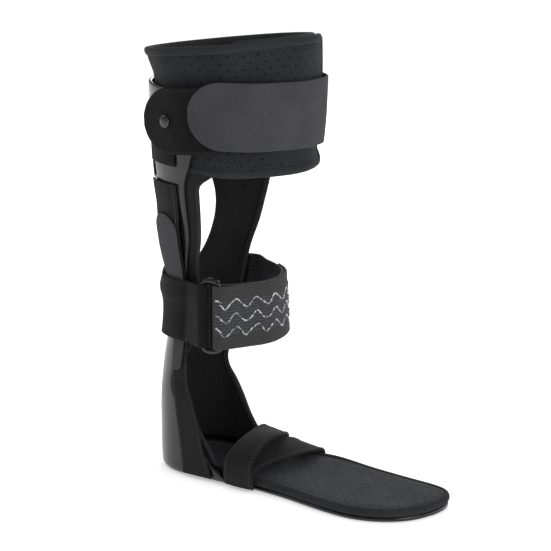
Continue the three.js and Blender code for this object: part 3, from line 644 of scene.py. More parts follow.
def window_rings(rim_angle, rim_z):
    """Rings from the window's edge out to a rim round it: angles, heights, distances from the edge."""
    turn = np.arctan2((rim_z - WINDOW_Z) / WINDOW_HALF_HEIGHT, (rim_angle - WINDOW_ANGLE) / WINDOW_HALF_ANGLE)
    angle, z = window_edge(turn)
    length = np.hypot(np.radians(rim_angle - angle) * column(LEG_ROWS, z, 2), rim_z - z)
    gaps = [distance + 0 * length for distance in near_edge(SHELL_ROUND)]
    gaps = np.stack(gaps + [lerp(SHELL_ROUND, length, share) for share in (0.25, 0.5, 0.75)])
    share = gaps / length
    return lerp(angle, rim_angle, share), lerp(z, rim_z, share), gaps


def shell_wall():
    """The wall with the oval window. Round the window the mesh runs in rings, and elsewhere in rows."""
    reach = 0.8
    low, high = 140.0, 260.0
    shares = np.concatenate([np.linspace(0, reach, 15), [0.86, 0.92], 1 - near_edge(SHELL_ROUND / 60)[::-1]])
    us = np.concatenate([-shares[:0:-1], shares])
    zs = np.concatenate([
        near_edge(SHELL_ROUND), np.linspace(4, low, 40), np.linspace(low, high, 31)[1:],
        np.linspace(high, 304, 14)[1:], SHELL_TOP - near_edge(SHELL_ROUND)[::-1],
    ])
    u, z = np.meshgrid(us, zs, indexing="ij")
    half = column(SHELL_EDGE, z, 1)
    angle = u * half + leg_turn(z)
    sideways = (1 - np.abs(u)) * np.radians(half) * column(LEG_ROWS, z, 2)
    gap = np.minimum(np.minimum(sideways, z), SHELL_TOP - z)
    ids = np.arange(u.size).reshape(u.shape)
    i0, i1 = np.searchsorted(us, [-reach - 1e-6, reach - 1e-6])
    j0, j1 = np.searchsorted(zs, [low - 1e-6, high - 1e-6])
    hole = np.zeros((len(us) - 1, len(zs) - 1), bool)
    hole[i0:i1, j0:j1] = True
    faces = Piece.quads(ids)[~hole.ravel()]

    rim = np.concatenate([ids[i0:i1, j0], ids[i1, j0:j1], ids[i1:i0:-1, j1], ids[i0, j1:j0:-1]])
    ring_angle, ring_z, ring_gap = window_rings(angle.ravel()[rim], z.ravel()[rim])
    ring_ids = u.size + np.arange(ring_z.size).reshape(ring_z.shape)
    ring_ids = np.vstack([ring_ids, rim])
    ring_ids = np.hstack([ring_ids, ring_ids[:, :1]])
    faces = np.vstack([faces, Piece.quads(ring_ids)])

    angle = np.concatenate([angle.ravel(), ring_angle.ravel()])
    z = np.concatenate([z.ravel(), ring_z.ravel()])
    gap = np.concatenate([gap.ravel(), ring_gap.ravel()])
    half_wall = SHELL_WALL / 2 * np.sqrt(1 - (1 - np.clip(gap / SHELL_ROUND, 0, 1)) ** 2)
    outer = leg_point(angle, z, half_wall - SHELL_WALL / 2)
    inner = leg_point(angle, z, -half_wall - SHELL_WALL / 2)
    piece = Piece()
    points = np.vstack([outer, inner])
    piece.add(points, np.vstack([faces, faces[:, ::-1] + len(outer)]), np.zeros((len(points), 2)))
    return piece.object("moulded_shell", [PLASTIC])


# Outline of the footplate from the lateral side of the heel round the toes to the medial side.
SOLE_FRONT = np.array([
    [60, -30.6], [84, -30.8], [108, -31.5], [130, -33.5], [152, -37], [174, -40.2], [194, -40.8],
    [211, -36.5], [226, -27], [236, -14], [241, 1], [242, 15], [239.5, 26], [232, 33.5], [219, 37],
    [200, 38.5], [178, 40.5], [155, 43], [132, 43.5], [110, 40], [86, 34.5], [60, 30.8],
])
HEEL_RADIUS = 30.6


def sole_outline(count=400):
    turn = np.radians(np.arange(90, 271, 15))
    heel = np.stack([HEEL_CENTRE + HEEL_RADIUS * np.cos(turn), HEEL_RADIUS * np.sin(turn)], axis=-1)
    ring = np.vstack([heel, SOLE_FRONT])
    closed = np.vstack([ring, ring[:1]])
    return resample(closed, count + 1)[:-1]


def footbed_outline(inset):
    """The sole's outline, pulled in by inset, and by more inside the heel cup."""
    outline = sole_outline()
    out = unit(np.roll(outline, -1, axis=0) - np.roll(outline, 1, axis=0))
    out = np.stack([out[:, 1], -out[:, 0]], axis=-1)
    heel = smoothstep(100 - outline[:, 0], 0, 25) * 5.2
    return outline - out * (inset + heel - 1)[:, None]


def arch_lift(x, y):
    return 3.5 * smoothstep(y, 5, 35) * smoothstep(x, 60, 100) * (1 - smoothstep(x, 115, 165))


def plate_sheet(piece, outline, low, high, edge, lift=None, relief=None):
    """A flat sheet inside an outline, in rows across the foot."""
    first, last = outline[:, 0].argmin(), outline[:, 0].argmax()
    ring = np.roll(outline, -first, axis=0)
    turn = (last - first) % len(outline)
    lateral, medial = ring[: turn + 1], np.vstack([ring[turn:], ring[:1]])[::-1]
    x0, x1 = ring[0, 0], ring[turn, 0]
    us = stops(x1 - x0, edge, 3.5)
    tip = 0.5 * np.cos(np.linspace(0.02, 0.5, 10))
    us = np.unique(np.concatenate([us, 0.5 - tip, 0.5 + tip]))
    xs = lerp(x0, x1, us)
    vs = stops(68, edge, 3.5)
    x, v = np.meshgrid(xs, vs, indexing="ij")
    low_y = np.interp(xs, lateral[:, 0], lateral[:, 1])[:, None]
    high_y = np.interp(xs, medial[:, 0], medial[:, 1])[:, None]
    y = lerp(low_y, high_y, v)
    z = (low + high) / 2 + (lift(x, y) / 2 if lift else 0)
    middle = np.stack([x, y, z + 0 * x], axis=-1)
    out = np.zeros_like(middle)
    out[..., 2] = 1
    piece.sheet(middle, out, high - low, edge, relief=relief, uv=np.stack([x, y], axis=-1))


def build_shell():
    shell = shell_wall()
    plate = Piece()
    plate_sheet(plate, sole_outline(), 0, PLATE_THICK, 1.2)
    combine(shell, plate.object("plate", [PLASTIC]), "UNION")
    turn = np.linspace(0, 2 * math.pi, 32, endpoint=False)
    across = np.sign(np.cos(turn)) * np.abs(np.cos(turn)) ** 0.5
    upwards = np.sign(np.sin(turn)) * np.abs(np.sin(turn)) ** 0.5
    for centre in (SLOT_ANGLE, 2 * LEG_TURN - SLOT_ANGLE):
        slot = leg_peg(centre + SLOT_HALF_ANGLE * across, SLOT_Z + SLOT_HALF_HEIGHT * upwards, 6)
        combine(shell, slot, "DIFFERENCE")
    shell.data.set_sharp_from_angle(angle=math.radians(50))
    dress(shell, ["shell"])


# ---- lined cuff
CUFF_INNER, CUFF_OUTER = -235.0, 216.0
CUFF_LOW = 244.0
CUFF_THICK = 3.4
CUFF_BINDING = 6.8
CUFF_SCALE = math.radians(62)  # millimetres of cuff per degree


def cuff_middle(angle, z):
    """Middle of the wrap: inside the shell behind, over its own inner end in front, flared at the rim."""
    over = 4.7 * smoothstep(angle, 101, 124)
    under = 1.2 * smoothstep(-angle, 140, 160)
    flare = 7.5 * smoothstep(z, SHELL_TOP, 336) * (1 - smoothstep(np.abs(angle - LEG_TURN), 95, 150))
    low_flare = 4.5 * (1 - smoothstep(z, 244, 259)) * smoothstep(angle, 140, 185)
    soft = 0.35 * np.sin(np.radians(angle * 8)) * np.sin((z - CUFF_LOW) / 14)
    return -6.4 + over - under + flare + low_flare + soft


def cuff_low(angle):
    """Lower edge: level in front, following the window behind."""
    return CUFF_LOW + 9 * (1 - smoothstep(np.abs(angle - LEG_TURN), 30, 62))


def on_cuff(along, z):
    angle = along / CUFF_SCALE
    return on_leg(angle, z, cuff_middle(angle, z))


def cuff_border():
    """The cuff's outer border from the inner end's top, round the outer end's corners, to its bottom."""
    corner = 9.0
    end = CUFF_OUTER * CUFF_SCALE
    along = np.linspace(CUFF_INNER * CUFF_SCALE, end - corner, 170)
    turn = np.radians(np.linspace(90, 0, 9))
    top, low = rim_height(CUFF_OUTER), cuff_low(CUFF_OUTER)
    upper = np.stack([along, rim_height(along / CUFF_SCALE)], axis=-1)
    lower = np.stack([along, cuff_low(along / CUFF_SCALE)], axis=-1)[::-1]
    arc = np.stack([np.cos(turn), np.sin(turn)], axis=-1) * corner
    high_corner = arc + [end - corner, top - corner]
    low_corner = arc[::-1] * [1, -1] + [end - corner, low + corner]
    return resample(np.vstack([upper, high_corner[1:], low_corner, lower[1:]]), 420)


def build_cuff():
    body = Piece()
    angle = lerp(CUFF_INNER, CUFF_OUTER - 3, stops(500, 1.2, 3.4))[:, None]
    share = stops(80, 1.2, 3.4)[None, :]
    low = cuff_low(angle) + CUFF_BINDING - 1.5
    high = rim_height(angle) - CUFF_BINDING + 1.5
    z = lerp(low, high, share)
    body.leg_sheet(angle, z, cuff_middle(angle, z), CUFF_THICK, 1.6, low_edge=0.45)
    dress(body.object("cuff_padding", [LINER]), ["calf_liner"])

    roll = Piece()
    border = cuff_border()
    inner_way = right_of(border)
    across = CUFF_BINDING * stops(CUFF_BINDING, 2.8, 1.0)
    plan = border[:, None] + inner_way[:, None] * across[None, :, None]
    middle, out = on_cuff(plan[..., 0], plan[..., 1])
    roll.sheet(middle, out, 4.8, 3.3)
    seam = border + inner_way * (CUFF_BINDING - 0.9)
    middle, out = on_cuff(seam[:, 0], seam[:, 1])
    for side in (1, -1):
        roll.stitches(middle + side * 1.35 * out, side * out)
    nodes = ["cuff_binding_top", "cuff_binding_low", "cuff_binding_edge"]
    dress(roll.object("cuff_binding", [BINDING, THREAD]), nodes)


# ---- lining of the heel and the uprights
LINING_THICK = 2.6
LINING_MIDDLE = -SHELL_WALL - GAP - LINING_THICK / 2
LINING_LOW, LINING_HIGH = 12.0, 246.5
LINING_BINDING = 4.2


def build_lining():
    wall = Piece()
    z = lerp(LINING_LOW, LINING_HIGH, stops(231, 1.0, 3.5))[None, :]
    angle = lerp(lining_edge(-1, z, 0.6), lining_edge(1, z, 0.6), stops(150, 1.0, 3.5)[:, None])
    wall.leg_sheet(angle, z, LINING_MIDDLE, LINING_THICK, 1.2, low_edge=0.3)
    lining = wall.object("lower_lining", [PLAIN_LINER])
    angles, heights = window_edge(np.linspace(0, 2 * math.pi, 96, endpoint=False), 3)
    combine(lining, leg_peg(angles, heights, 14), "DIFFERENCE")
    lining.data.set_sharp_from_angle(angle=math.radians(60))
    dress(lining, ["lower_liner"])

    for name, side in (("lateral", 1), ("medial", -1)):
        edge = Piece()
        z = lerp(LINING_LOW, LINING_HIGH, stops(231, 1.4, 3))[:, None]
        beyond = LINING_BINDING * stops(LINING_BINDING, 1.9, 1.0)[None, :]
        middle, out = on_leg(lining_edge(side, z, 0.4 + beyond), z, LINING_MIDDLE)
        edge.sheet(middle - 0.3 * out, out, 3.4, 1.7)
        z = z[:, 0]
        middle, out = on_leg(lining_edge(side, z, 1.2), z, LINING_MIDDLE)
        edge.stitches(middle - 1.9 * out, -out)
        node = "liner_binding_" + name
        dress(edge.object("lining_edge_" + name, [BINDING, THREAD]), [node])


# ---- footbed
FOOTBED_LOW = PLATE_THICK + 0.4


def build_footbed():
    pad = Piece()

    def cushion(along, across, gap):
        return 0.9 * smoothstep(gap, 0, 7) - 0.7

    plate_sheet(pad, footbed_outline(3.2), FOOTBED_LOW, FOOTBED_TOP, 1.6, arch_lift, cushion)
    dress(pad.object("footbed_pad", [FOOTBED]), ["footbed"])

    rim = Piece()
    outline = footbed_outline(2.45)
    x, y = outline[:, 0], outline[:, 1]
    middle = (FOOTBED_LOW + FOOTBED_TOP) / 2 - 0.05
    path = np.stack([x, y, middle + arch_lift(x, y) * 0.75], axis=-1)
    rim.tube(path, 2.5, UP, 16, closed=True, flat=1.34)
    seam = footbed_outline(4.4)
    x, y = seam[:, 0], seam[:, 1]
    path = np.stack([x, y, FOOTBED_TOP - 1.0 + arch_lift(x, y)], axis=-1)
    rim.stitches(path, UP)
    dress(rim.object("footbed_edge", [BINDING, THREAD]), ["footbed_binding"])


# ---- sleeves and hook strips
SLEEVE_LOW, SLEEVE_HIGH = 2, 236
SLEEVE_END_LOW = 250
SLEEVE_END_HIGH = {"lateral": 266, "medial": 258}
HOOK_LOW, HOOK_HIGH, HOOK_ROUND = 86.0, 211.0, 11
PLEAT_WIDTH = 2.1
BAND_SHARES = stops(28, 0.8, 1.2)[None, :]


def band_angle(side, rows, z, share, round_end=1.0):
    """Angle at a share from rear (0) to front (1) of a side band.

    The medial band is narrower: it stays between the window and the shell's edge.
    """
    rear, front = column(rows, z, 1), column(rows, z, 2)
    if side < 0:
        medial = np.minimum(front - 2 * leg_turn(z), column(SHELL_EDGE, z, 1) - leg_turn(z))
        rear, front = -np.maximum(rows[-1, 1] - 3, medial - (front - rear)), -medial
    return (front + rear) / 2 + (2 * share - 1) * (front - rear) / 2 * round_end


def sleeve_bulge(z):
    return 2 * smoothstep(z, 158, 186) * (1 - smoothstep(z, 196, 222))


def pleats(along, across, gap):
    """Narrow pleats along the front edge of the sleeve's upper part."""
    from_front = across[:, -1:] - across
    fold = np.sin(from_front * math.pi / PLEAT_WIDTH) ** 2
    return -0.6 * fold * smoothstep(along, 95, 120) * (1 - smoothstep(from_front, 6.8, 8.0))


def build_sleeve(side, name):
    sleeve = Piece()
    offset = GAP + SLEEVE_THICK / 2
    z = lerp(SLEEVE_LOW, SLEEVE_HIGH, stops(SLEEVE_HIGH - SLEEVE_LOW, 1.0, 3))[:, None]
    angle = band_angle(side, SLEEVE_ROWS, z, BAND_SHARES)
    sleeve.leg_sheet(angle, z, offset + sleeve_bulge(z), SLEEVE_THICK, 0.8, low_edge=0.2, relief=pleats)
    for seam_share in (0.93, 0.08):
        z = np.linspace(SLEEVE_LOW + 4, SLEEVE_HIGH - 3, 90)
        lifted = offset + SLEEVE_THICK / 2 + sleeve_bulge(z)
        middle, out = on_leg(band_angle(side, SLEEVE_ROWS, z, seam_share), z, lifted)
        sleeve.stitches(middle, out)
    made = sleeve.object("upright_sleeve_" + name, [WEBBING, THREAD])
    dress(made, ["sleeve_" + name])


def build_sleeve_end(side, name):
    """The short end above the slot. The medial one is shorter, because the strap lies lower there."""
    end = Piece()
    z = lerp(SLEEVE_END_LOW, SLEEVE_END_HIGH[name], stops(16, 0.5, 2))[:, None]
    angle = band_angle(side, SLEEVE_ROWS, z, BAND_SHARES)
    end.leg_sheet(angle, z, GAP + SLEEVE_END_THICK / 2, SLEEVE_END_THICK, 0.4, low_edge=0.2)
    dress(end.object("upright_sleeve_end_" + name, [LOOP]), ["sleeve_end_" + name])


def build_hook_strip(side, name):
    hook = Piece()
    ends = HOOK_ROUND * (1 - np.cos(np.linspace(0, math.pi / 2, 9)[:-1]))
    straight = np.linspace(HOOK_LOW + HOOK_ROUND, HOOK_HIGH - HOOK_ROUND, 34)
    z = np.concatenate([HOOK_LOW + ends + 0.05, straight, HOOK_HIGH - ends[::-1] - 0.05])[:, None]
    width = np.abs(band_angle(side, HOOK_ROWS, z, 1) - band_angle(side, HOOK_ROWS, z, 0))
    half_mm = np.radians(width) / 2 * column(LEG_ROWS, z, 2)
    inside = np.clip(1 - np.minimum(z - HOOK_LOW, HOOK_HIGH - z) / half_mm, 0, 1)
    angle = band_angle(side, HOOK_ROWS, z, stops(24, 0.6, 2.4)[None, :], np.sqrt(1 - inside**2))
    offset = 2 * GAP + SLEEVE_THICK + HOOK_THICK / 2 + sleeve_bulge(z)
    hook.leg_sheet(angle, z, offset, HOOK_THICK, 0.6)
    dress(hook.object("hook_patch_" + name, [HOOK]), ["hook_strip_" + name])


def build_side_bands():
    for name, side in (("lateral", 1), ("medial", -1)):
        build_sleeve(side, name)
        build_sleeve_end(side, name)
        build_hook_strip(side, name)


# ---- calf strap
def leg_strap(piece, ends, middle_z, width, inner, thick, inset=None):
    """A strap round the leg with half round ends. inset adds a sewn line that far inside its edges."""
    start, finish = ends
    end_turn = math.degrees(width / 2 / CALF_RADIUS)
    cap = end_turn * (1 - np.cos(np.linspace(0.06, math.pi / 2, 12)))
    body = np.linspace(start + end_turn, finish - end_turn, round((finish - start) / 2.6))[1:-1]
    angle = np.concatenate([start + cap, body, finish - cap[::-1]])
    inside = np.clip(1 - np.minimum(angle - start, finish - angle) / end_turn, 0, 1)
    half = width / 2 * np.sqrt(1 - inside**2)
    share = 2 * stops(width, 0.9, 3.0) - 1
    z = middle_z(angle)[:, None] + half[:, None] * share[None, :]
    wide = np.broadcast_to(angle[:, None], z.shape)
    piece.leg_sheet(wide, z, inner(wide) + thick / 2, thick, 0.9)
    if inset is None:
        return
    size = 1 - inset / (width / 2)
    centre = (start + finish) / 2
    reach = (finish - start) / 2 - inset / (width / 2) * end_turn
    straight = reach - size * end_turn
    turn = np.linspace(0, math.pi, 40)
    round_reach = straight + size * end_turn * np.sin(turn)
    lap_angle = np.concatenate([centre + round_reach, centre - round_reach, [centre + straight]])
    lap_half = size * width / 2 * np.concatenate([np.cos(turn), -np.cos(turn), [1]])
    path = resample(np.stack([lap_angle, lap_half], axis=-1), 260)
    middle, out = on_leg(path[:, 0], middle_z(path[:, 0]) + path[:, 1], inner(path[:, 0]) + thick)
    piece.stitches(middle, out)


RIVET_STEM, RIVET_FLANGE, RIVET_HEAD = 2.2, 4.4, 4.95  # radii
RIVET_DOME = 2.3
TAB_ON_LEG = 78.4  # behind this angle the tab runs straight, off the shell
RIVETS = (
    ("lateral", TAB_ON_LEG, 284.5, SLEEVE_END_THICK + STRAP_THICK + 3 * GAP),
    ("medial", -62.0, 286.0, STRAP_THICK + 2 * GAP),
)
STRAP_TURN = 211.0  # where the free end of the calf strap starts to peel


def tab_inner(angle):
    """The tab lies over the sleeve's end and the cuff in front, and stands off the shell behind."""
    on_shell = 2 * GAP + SLEEVE_END_THICK
    reach = (CALF_RADIUS + on_shell) / np.cos(np.radians(np.maximum(TAB_ON_LEG - angle, 0)))
    return reach - CALF_RADIUS + 0.3 * smoothstep(angle, 90, 108)


def tab_middle(angle):
    return 279.5 + 0.112 * (angle - 36)


def strap_middle(angle):
    return 288.4 + 4 * np.cos(np.radians(angle - 85))


def strap_inner(angle):
    """Over the tab, down to the cuff, out to a corner where the strap turns, and onto the shell."""
    over_tab = tab_inner(100.0) + STRAP_THICK + GAP
    on_cuff = lerp(over_tab, 1.4, smoothstep(angle, 136, 158))
    corner = 2.2 * smoothstep(angle, 192, STRAP_TURN) * (1 - smoothstep(angle, STRAP_TURN, 230))
    return lerp(on_cuff, GAP, smoothstep(angle, 215, 250)) + corner


def hinge_place(name):
    return Vector(next(joint["pos_m"] for joint in frame["joints"] if joint["name"] == name))


def build_calf_strap():
    tab = Piece()
    leg_strap(tab, (57.5, 134), tab_middle, CALF_TAB_WIDTH, tab_inner, STRAP_THICK, 2.0)
    dress(tab.object("calf_strap_tab", [LOOP, DARK_THREAD]), ["calf_tab"])

    strap = Piece()
    leg_strap(strap, (97, 314), strap_middle, CALF_STRAP_WIDTH, strap_inner, STRAP_THICK)
    made = strap.object("calf_closing_strap", [HOOK])
    place = hinge_place("calf_strap_peel")
    turn = math.radians(STRAP_TURN)
    onward = Vector((math.sin(turn), -math.cos(turn), 0))
    nodes = ["calf_strap_base", "calf_strap_end"]
    ends = (place + 2 * MM * onward, place - 9 * MM * onward)
    dress(made, nodes, "calf_strap_free", ends)


def build_rivets():
    flange = -SHELL_WALL - 0.5
    for name, angle, z, head in RIVETS:
        turns = np.linspace(0, math.pi / 2, 10)
        dome = [[RIVET_HEAD * math.cos(t), head + 0.5 + RIVET_DOME * math.sin(t)] for t in turns]
        profile = [
            [0, flange - 0.8], [RIVET_FLANGE - 0.4, flange - 0.8], [RIVET_FLANGE, flange - 0.5],
            [RIVET_FLANGE, flange - 0.1], [RIVET_FLANGE - 0.2, flange], [RIVET_STEM, flange],
            [RIVET_STEM, head], [RIVET_HEAD - 0.25, head], [RIVET_HEAD, head + 0.2], *dome,
        ]
        rivet = Piece()
        at = leg_point(angle, z, 0)
        rivet.revolve(profile, at, unit(leg_point(angle, z, 1) - at))
        made = rivet.object("strap_rivet_" + name, [RIVET_METAL])
        dress(made, ["calf_rivet_" + name])


# ---- ankle strap
RING_REAR = np.array([66.0, -46.6])
RING_FRONT = np.array([79.5, -43.8])
RING_LOW, RING_HIGH = 108.2, 163.0
RING_BAR = 2.1
LOOP_CLEAR = 1.3  # room between a strap's fold and the bar it turns round
# Plan points of the elastic round the front of the ankle to the ring, at its upper and lower edge.
FRONT_TO_RING = [[96.2, -15], [91.5, -24], [86, -32.5]]
FRONT_HIGH = np.array([[60, 42.5], [73, 36], [84.5, 28], [93, 17.5], [97.8, 6.5], [98.7, -5]]
                      + FRONT_TO_RING)
FRONT_LOW = np.array([[62, 44.5], [76.5, 39.5], [87, 30], [93.5, 19], [97.4, 6.5], [98.4, -5]]
                     + FRONT_TO_RING)
# Directions from the ring's front bar: where the elastic meets it, where its layers join, where it leaves.
BAR_MEETS, BAR_JOIN, BAR_LEAVES = 135, 196, 336
ELASTIC_FOLD = RING_BAR + LOOP_CLEAR + ELASTIC_THICK / 2


def fold_round(centre, radius, start, finish, count):
    turn = np.radians(np.linspace(start, finish, count))
    return centre + radius * np.stack([np.cos(turn), np.sin(turn)], axis=-1)


def plan_band(piece, run, low, high, thick, step, rows, **options):
    """A band standing on edge along a run of plan points that may change with height."""
    z = lerp(low, high, stops(high - low, 0.9, rows))
    count = max(8, round(len_of(run((low + high) / 2)) / step))
    plan = np.stack([resample(run(height), count) for height in z], axis=1)
    middle = np.concatenate([plan, np.broadcast_to(z[None, :, None], plan.shape[:2] + (1,))], axis=-1)
    piece.sheet(middle, level(right_of(plan)), thick, 0.9, **options)


def len_of(path):
    return np.linalg.norm(np.diff(np.asarray(path), axis=0), axis=1).sum()


def loop_strap_run(z):
    """From the medial side behind the heel to the ring's rear bar, round it and back inside."""
    layers = 3 * GAP + SLEEVE_THICK + HOOK_THICK + STRAP_THICK / 2
    bulge = smoothstep(z, 130, 146) * (1 - smoothstep(z, 146, 160))
    on_shell = GAP + STRAP_THICK / 2 + 1.6 * smoothstep(z, ANKLE_LOW, ANKLE_HIGH) + 3.4 * bulge
    angle = np.arange(-82, 95, 4.0)
    beyond = smoothstep(np.abs(angle - leg_turn(z)), 30, 47)
    offset = lerp(on_shell, np.maximum(layers, on_shell), beyond)
    leg = leg_point(angle, z, offset)[:, :2]
    fold = RING_BAR + LOOP_CLEAR + STRAP_THICK / 2
    return np.vstack([leg, fold_round(RING_REAR, fold, -100, 78, 9), [RING_REAR + [-6, 4.2]]])


def front_run(z):
    return lerp(FRONT_LOW, FRONT_HIGH, (z - ANKLE_LOW) / (ANKLE_HIGH - ANKLE_LOW))


def elastic_run(z):
    """From the medial side, over the loop strap, round the front and through the ring to its front bar."""
    layers = 3 * (GAP + STRAP_THICK) + HOOK_THICK + ELASTIC_THICK / 2
    medial = leg_point(np.array([-58, -68, -78, -88.0]), z, layers)[:, :2]
    return np.vstack([medial, front_run(z), fold_round(RING_FRONT, ELASTIC_FOLD, BAR_MEETS, BAR_JOIN, 6)])


def outer_layer_run(z):
    """Round the ring's front bar and back over the inner layer, to the front-medial side."""
    covered = front_run(z)[-2:0:-1]
    fold = fold_round(RING_FRONT, ELASTIC_FOLD, BAR_JOIN + 4, BAR_LEAVES, 10)
    return np.vstack([fold, covered + right_of(covered) * (ELASTIC_THICK + GAP)])


def ribs(along, across, gap):
    """Cords along both edges of the elastic."""
    from_middle = np.abs(across - (ANKLE_HIGH - ANKLE_LOW) / 2)
    return 0.3 * smoothstep(from_middle, 12.5, 14) * (np.abs(np.sin(math.pi * from_middle / 1.35)) - 0.5)


WAVE_LENGTH, WAVE_HEIGHT, WAVE_SPACING = 17.5, 7.0, 10.6
WAVE_START, WAVE_STOP = 5.5, 3.0


def build_loop_strap():
    loop = Piece()
    plan_band(loop, loop_strap_run, ANKLE_LOW, ANKLE_HIGH, STRAP_THICK, 2.2, 3.5)
    for z in (ANKLE_LOW + 2.2, ANKLE_HIGH - 2.2):
        path = resample(loop_strap_run(z), 150)[:-18]
        out = level(right_of(path))
        loop.stitches(np.column_stack([path, np.full(len(path), z)]) + out * STRAP_THICK / 2, out)
    made = loop.object("ankle_strap_loop", [LOOP_STRAP, DARK_THREAD])
    dress(made, ["ankle_loop_strap"])


def build_grip_bead(number, row, ends):
    """One zigzag silicone line on the elastic's outer layer."""
    middle = (ANKLE_LOW + ANKLE_HIGH) / 2 + row * WAVE_SPACING
    face = resample(outer_layer_run(middle), 260)
    out = level(right_of(face))
    distance = np.linspace(0, len_of(face), len(face))
    keep = (distance > WAVE_START) & (distance < distance[-1] - WAVE_STOP)
    phase = 2 * math.pi * (distance - WAVE_START) / WAVE_LENGTH + 0.25 * np.sin(distance * 0.31 + 2 * row)
    zigzag = np.arcsin(0.82 * np.cos(phase)) / math.asin(0.82)
    z = middle + WAVE_HEIGHT / 2 * zigzag + 0.3 * np.sin(distance * 0.8 + row)
    path = np.column_stack([face, z]) + out * (ELASTIC_THICK / 2 + 0.1)
    size = 0.62 + 0.14 * np.sin(distance * 1.9 + 2 * row) + 0.1 * np.sin(distance * 5.3 + row)
    bead = Piece()
    bead.tube(path[keep], size[keep], out[keep], 10, flat=0.9)
    made = bead.object(f"grip_bead_{number}", [SILICONE])
    dress(made, [f"grip_wave_{number}"], "ankle_strap_free", ends)


def build_elastic():
    inner = Piece()
    plan_band(inner, elastic_run, ANKLE_LOW, ANKLE_HIGH, ELASTIC_THICK, 2.4, 0.45, relief=ribs)
    dress(inner.object("ankle_elastic_under", [ELASTIC]), ["ankle_elastic_inner"])

    outer = Piece()
    plan_band(outer, outer_layer_run, ANKLE_LOW, ANKLE_HIGH, ELASTIC_THICK, 2.0, 0.4, relief=ribs)
    made = outer.object("ankle_elastic_over", [ELASTIC])
    place = hinge_place("ankle_strap_peel")
    ends = (place, place + Vector((3, 11, 0)) * MM)
    dress(made, ["ankle_elastic_outer"], "ankle_strap_free", ends)
    for number, row in enumerate((1, 0, -1), 1):
        build_grip_bead(number, row, ends)


def build_ring():
    corner = 5.0
    along = RING_FRONT - RING_REAR
    width = np.linalg.norm(along)
    along = along / width
    path = []
    corners = (
        (width - corner, RING_HIGH - corner, 0), (corner, RING_HIGH - corner, 90),
        (corner, RING_LOW + corner, 180), (width - corner, RING_LOW + corner, 270),
    )
    for s, z, start in corners:
        across, up = fold_round(np.array([s, z]), corner, start, start + 90, 12).T
        path.append(np.column_stack([RING_REAR + along * across[:, None], up]))
    path = np.vstack(path)
    ring = Piece()
    ring.tube(path, RING_BAR, np.array([-along[1], along[0], 0]), 20, closed=True)
    dress(ring.object("strap_ring", [RING_PLASTIC]), ["ankle_ring"], "ring")


# ---- foot straps
# Rear and front edges of each strap, from the lateral side of the sole over the instep to the medial side.
CLOSING_STRAP = (
    [[78, -37, 1.2], [78.5, -39.5, 12], [79, -36.5, 24], [77.5, -22, 30.5], [75, -3, 32.8], [68.5, 16, 31],
     [62, 36, 27], [56.5, 43.5, 17.5], [55, 44, 6]],
    [[105, -37, 1.2], [105.5, -40.5, 11], [105, -38, 23.5], [103.5, -22, 33], [104, -2, 36.5],
     [97.5, 18, 31.5], [88.5, 34, 23.5], [81, 43, 14], [79.5, 44.5, 6]],
)
LOWER_STRAP = (
    [[79, -34.4, 1.2], [80, -36, 12], [82, -33, 22.5], [87, -18, 29], [91, 0, 30.6], [93.5, 16, 27.8],
     [94, 30, 24], [92.5, 42, 16], [92, 44.5, 5]],
    [[103, -34.4, 1.2], [103.5, -35.8, 8], [105.5, -32.5, 17], [110.5, -16, 20.3], [113.7, 0, 20],
     [116, 16, 19.5], [117, 30, 17.5], [115.5, 43.5, 14.5], [114.5, 47, 5]],
)


def edge_strap(piece, edges, thick):
    """A strap between two edge curves, with a turned hem and a sewn line along each edge."""
    rear, front = (resample(edge, 80) for edge in edges)
    share = stops(26, 0.8, 2.0)[None, :, None]
    top = lerp(rear[:, None], front[:, None], share)
    along = unit(np.gradient(rear, axis=0) + np.gradient(front, axis=0))
    out = unit(np.cross(front - rear, along))
    crown = 0.5 * (1 - (2 * share - 1) ** 2)
    wide_out = np.broadcast_to(out[:, None], top.shape)

    def hem(along_mm, across_mm, gap):
        return 0.35 * (1 - smoothstep(gap, 2.6, 3.4)) + 0 * along_mm

    piece.sheet(top + wide_out * (crown - thick / 2), wide_out, thick, 0.7, relief=hem)
    for at in (0.075, 0.925):
        path = lerp(rear, front, at)
        piece.stitches(path + out * (0.35 + 0.5 * (1 - (2 * at - 1) ** 2)), out)


def build_foot_straps():
    lower = Piece()
    edge_strap(lower, LOWER_STRAP, 1.6)
    dress(lower.object("foot_strap_under", [WEBBING, THREAD]), ["foot_strap_lower"])

    closing = Piece()
    edge_strap(closing, CLOSING_STRAP, STRAP_THICK)
    made = closing.object("foot_strap_over", [WEBBING, THREAD])
    place = hinge_place("foot_strap_peel")
    ends = (place + Vector((0, 1, 0)) * MM, place - Vector((0, 8, 0)) * MM)
    nodes = ["foot_strap_base", "foot_strap_end"]
    dress(made, nodes, "foot_strap_free", ends)


# ---- stage
TARGET = Vector((0.0659, 0.0, 0.1616))
VIEW_AZIMUTH, VIEW_ELEVATION, VIEW_DISTANCE = 35.73, 14.70, 1.750
LENS, SENSOR = 151.6, 36.0


def direction(azimuth, elevation):
    """Unit vector from the object towards a viewer; azimuth 0 is the lateral side, 90 the toes."""
    a, e = math.radians(azimuth), math.radians(elevation)
    return Vector((math.sin(a) * math.cos(e), -math.cos(a) * math.cos(e), math.sin(e)))


def build_camera():
    data = bpy.data.cameras.new("camera")
    data.lens, data.sensor_width = LENS, SENSOR
    data.clip_start, data.clip_end = 0.05, 60
    camera = bpy.data.objects.new("camera", data)
    back = direction(VIEW_AZIMUTH, VIEW_ELEVATION)
    camera.location = TARGET + back * VIEW_DISTANCE
    camera.rotation_euler = (-back).to_track_quat("-Z", "Y").to_euler()
    show(camera)
    bpy.context.scene.camera = camera


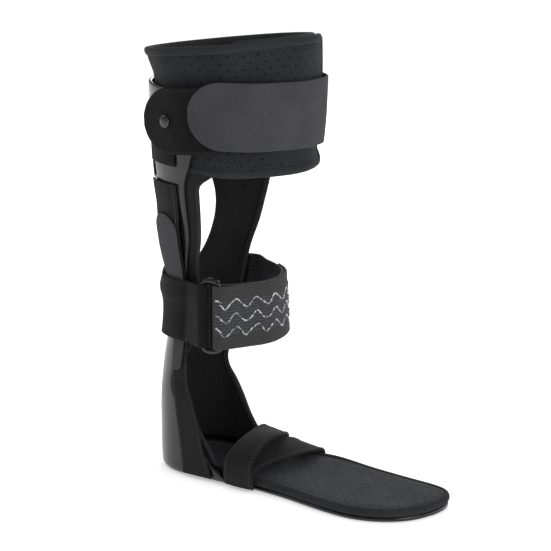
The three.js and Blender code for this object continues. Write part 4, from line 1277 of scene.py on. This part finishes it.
def soft_light(name, azimuth, elevation, distance, size, power):
    data = bpy.data.lights.new(name, "AREA")
    data.shape, data.size, data.energy = "DISK", size, power
    light = bpy.data.objects.new(name, data)
    away = direction(azimuth, elevation)
    light.location = TARGET + away * distance
    light.rotation_euler = (-away).to_track_quat("-Z", "Y").to_euler()
    show(light)


def build_lights():
    soft_light("key", -78, 38, 1.6, 0.9, 3.2)
    soft_light("side", -152, 14, 1.6, 0.8, 5.5)
    soft_light("fill", 80, 22, 1.8, 1.2, 12)
    soft_light("rim", 205, 40, 1.7, 0.9, 5)


def build_world():
    world = bpy.data.worlds.new("studio")
    world.use_nodes = True
    tree = world.node_tree
    background = tree.nodes["Background"]
    background.inputs["Color"].default_value = (1, 1, 1, 1)
    # Glossy surfaces see a darker room, so that the soft lights stand out in them.
    rays = tree.nodes.new("ShaderNodeLightPath")
    strength = tree.nodes.new("ShaderNodeMapRange")
    strength.inputs["To Min"].default_value = 0.7
    strength.inputs["To Max"].default_value = 0.3
    tree.links.new(rays.outputs["Is Glossy Ray"], strength.inputs["Value"])
    tree.links.new(strength.outputs["Result"], background.inputs["Strength"])
    bpy.context.scene.world = world
    bpy.context.scene.view_settings.view_transform = "Standard"


def build_floor():
    """A pale floor that lies just under the sole and reaches past the view."""
    mesh = bpy.data.meshes.new("floor")
    reach, low = 14.0, -0.0006
    corners = [(-reach, -reach, low), (reach, -reach, low), (reach, reach, low), (-reach, reach, low)]
    mesh.from_pydata(corners, [], [(0, 1, 2, 3)])
    s = Shader("floor")
    grain = s.noise(40, 3.0)
    mesh.materials.append(s.finish(
        Base_Color=s.shade(s.ramp(grain, 0.3, 0.7, 0.99, 1.0), (0.92, 0.92, 0.92, 1)),
        Roughness=0.9,
        Specular_IOR_Level=0.1,
        Emission_Color=(1, 1, 1, 1),
        Emission_Strength=0.4,
    ))
    floor = bpy.data.objects.new("floor", mesh)
    show(floor)


build_shell()
build_cuff()
build_lining()
build_footbed()
build_side_bands()
build_calf_strap()
build_rivets()
build_loop_strap()
build_elastic()
build_ring()
build_foot_straps()
build_floor()
build_lights()
build_world()
build_camera()
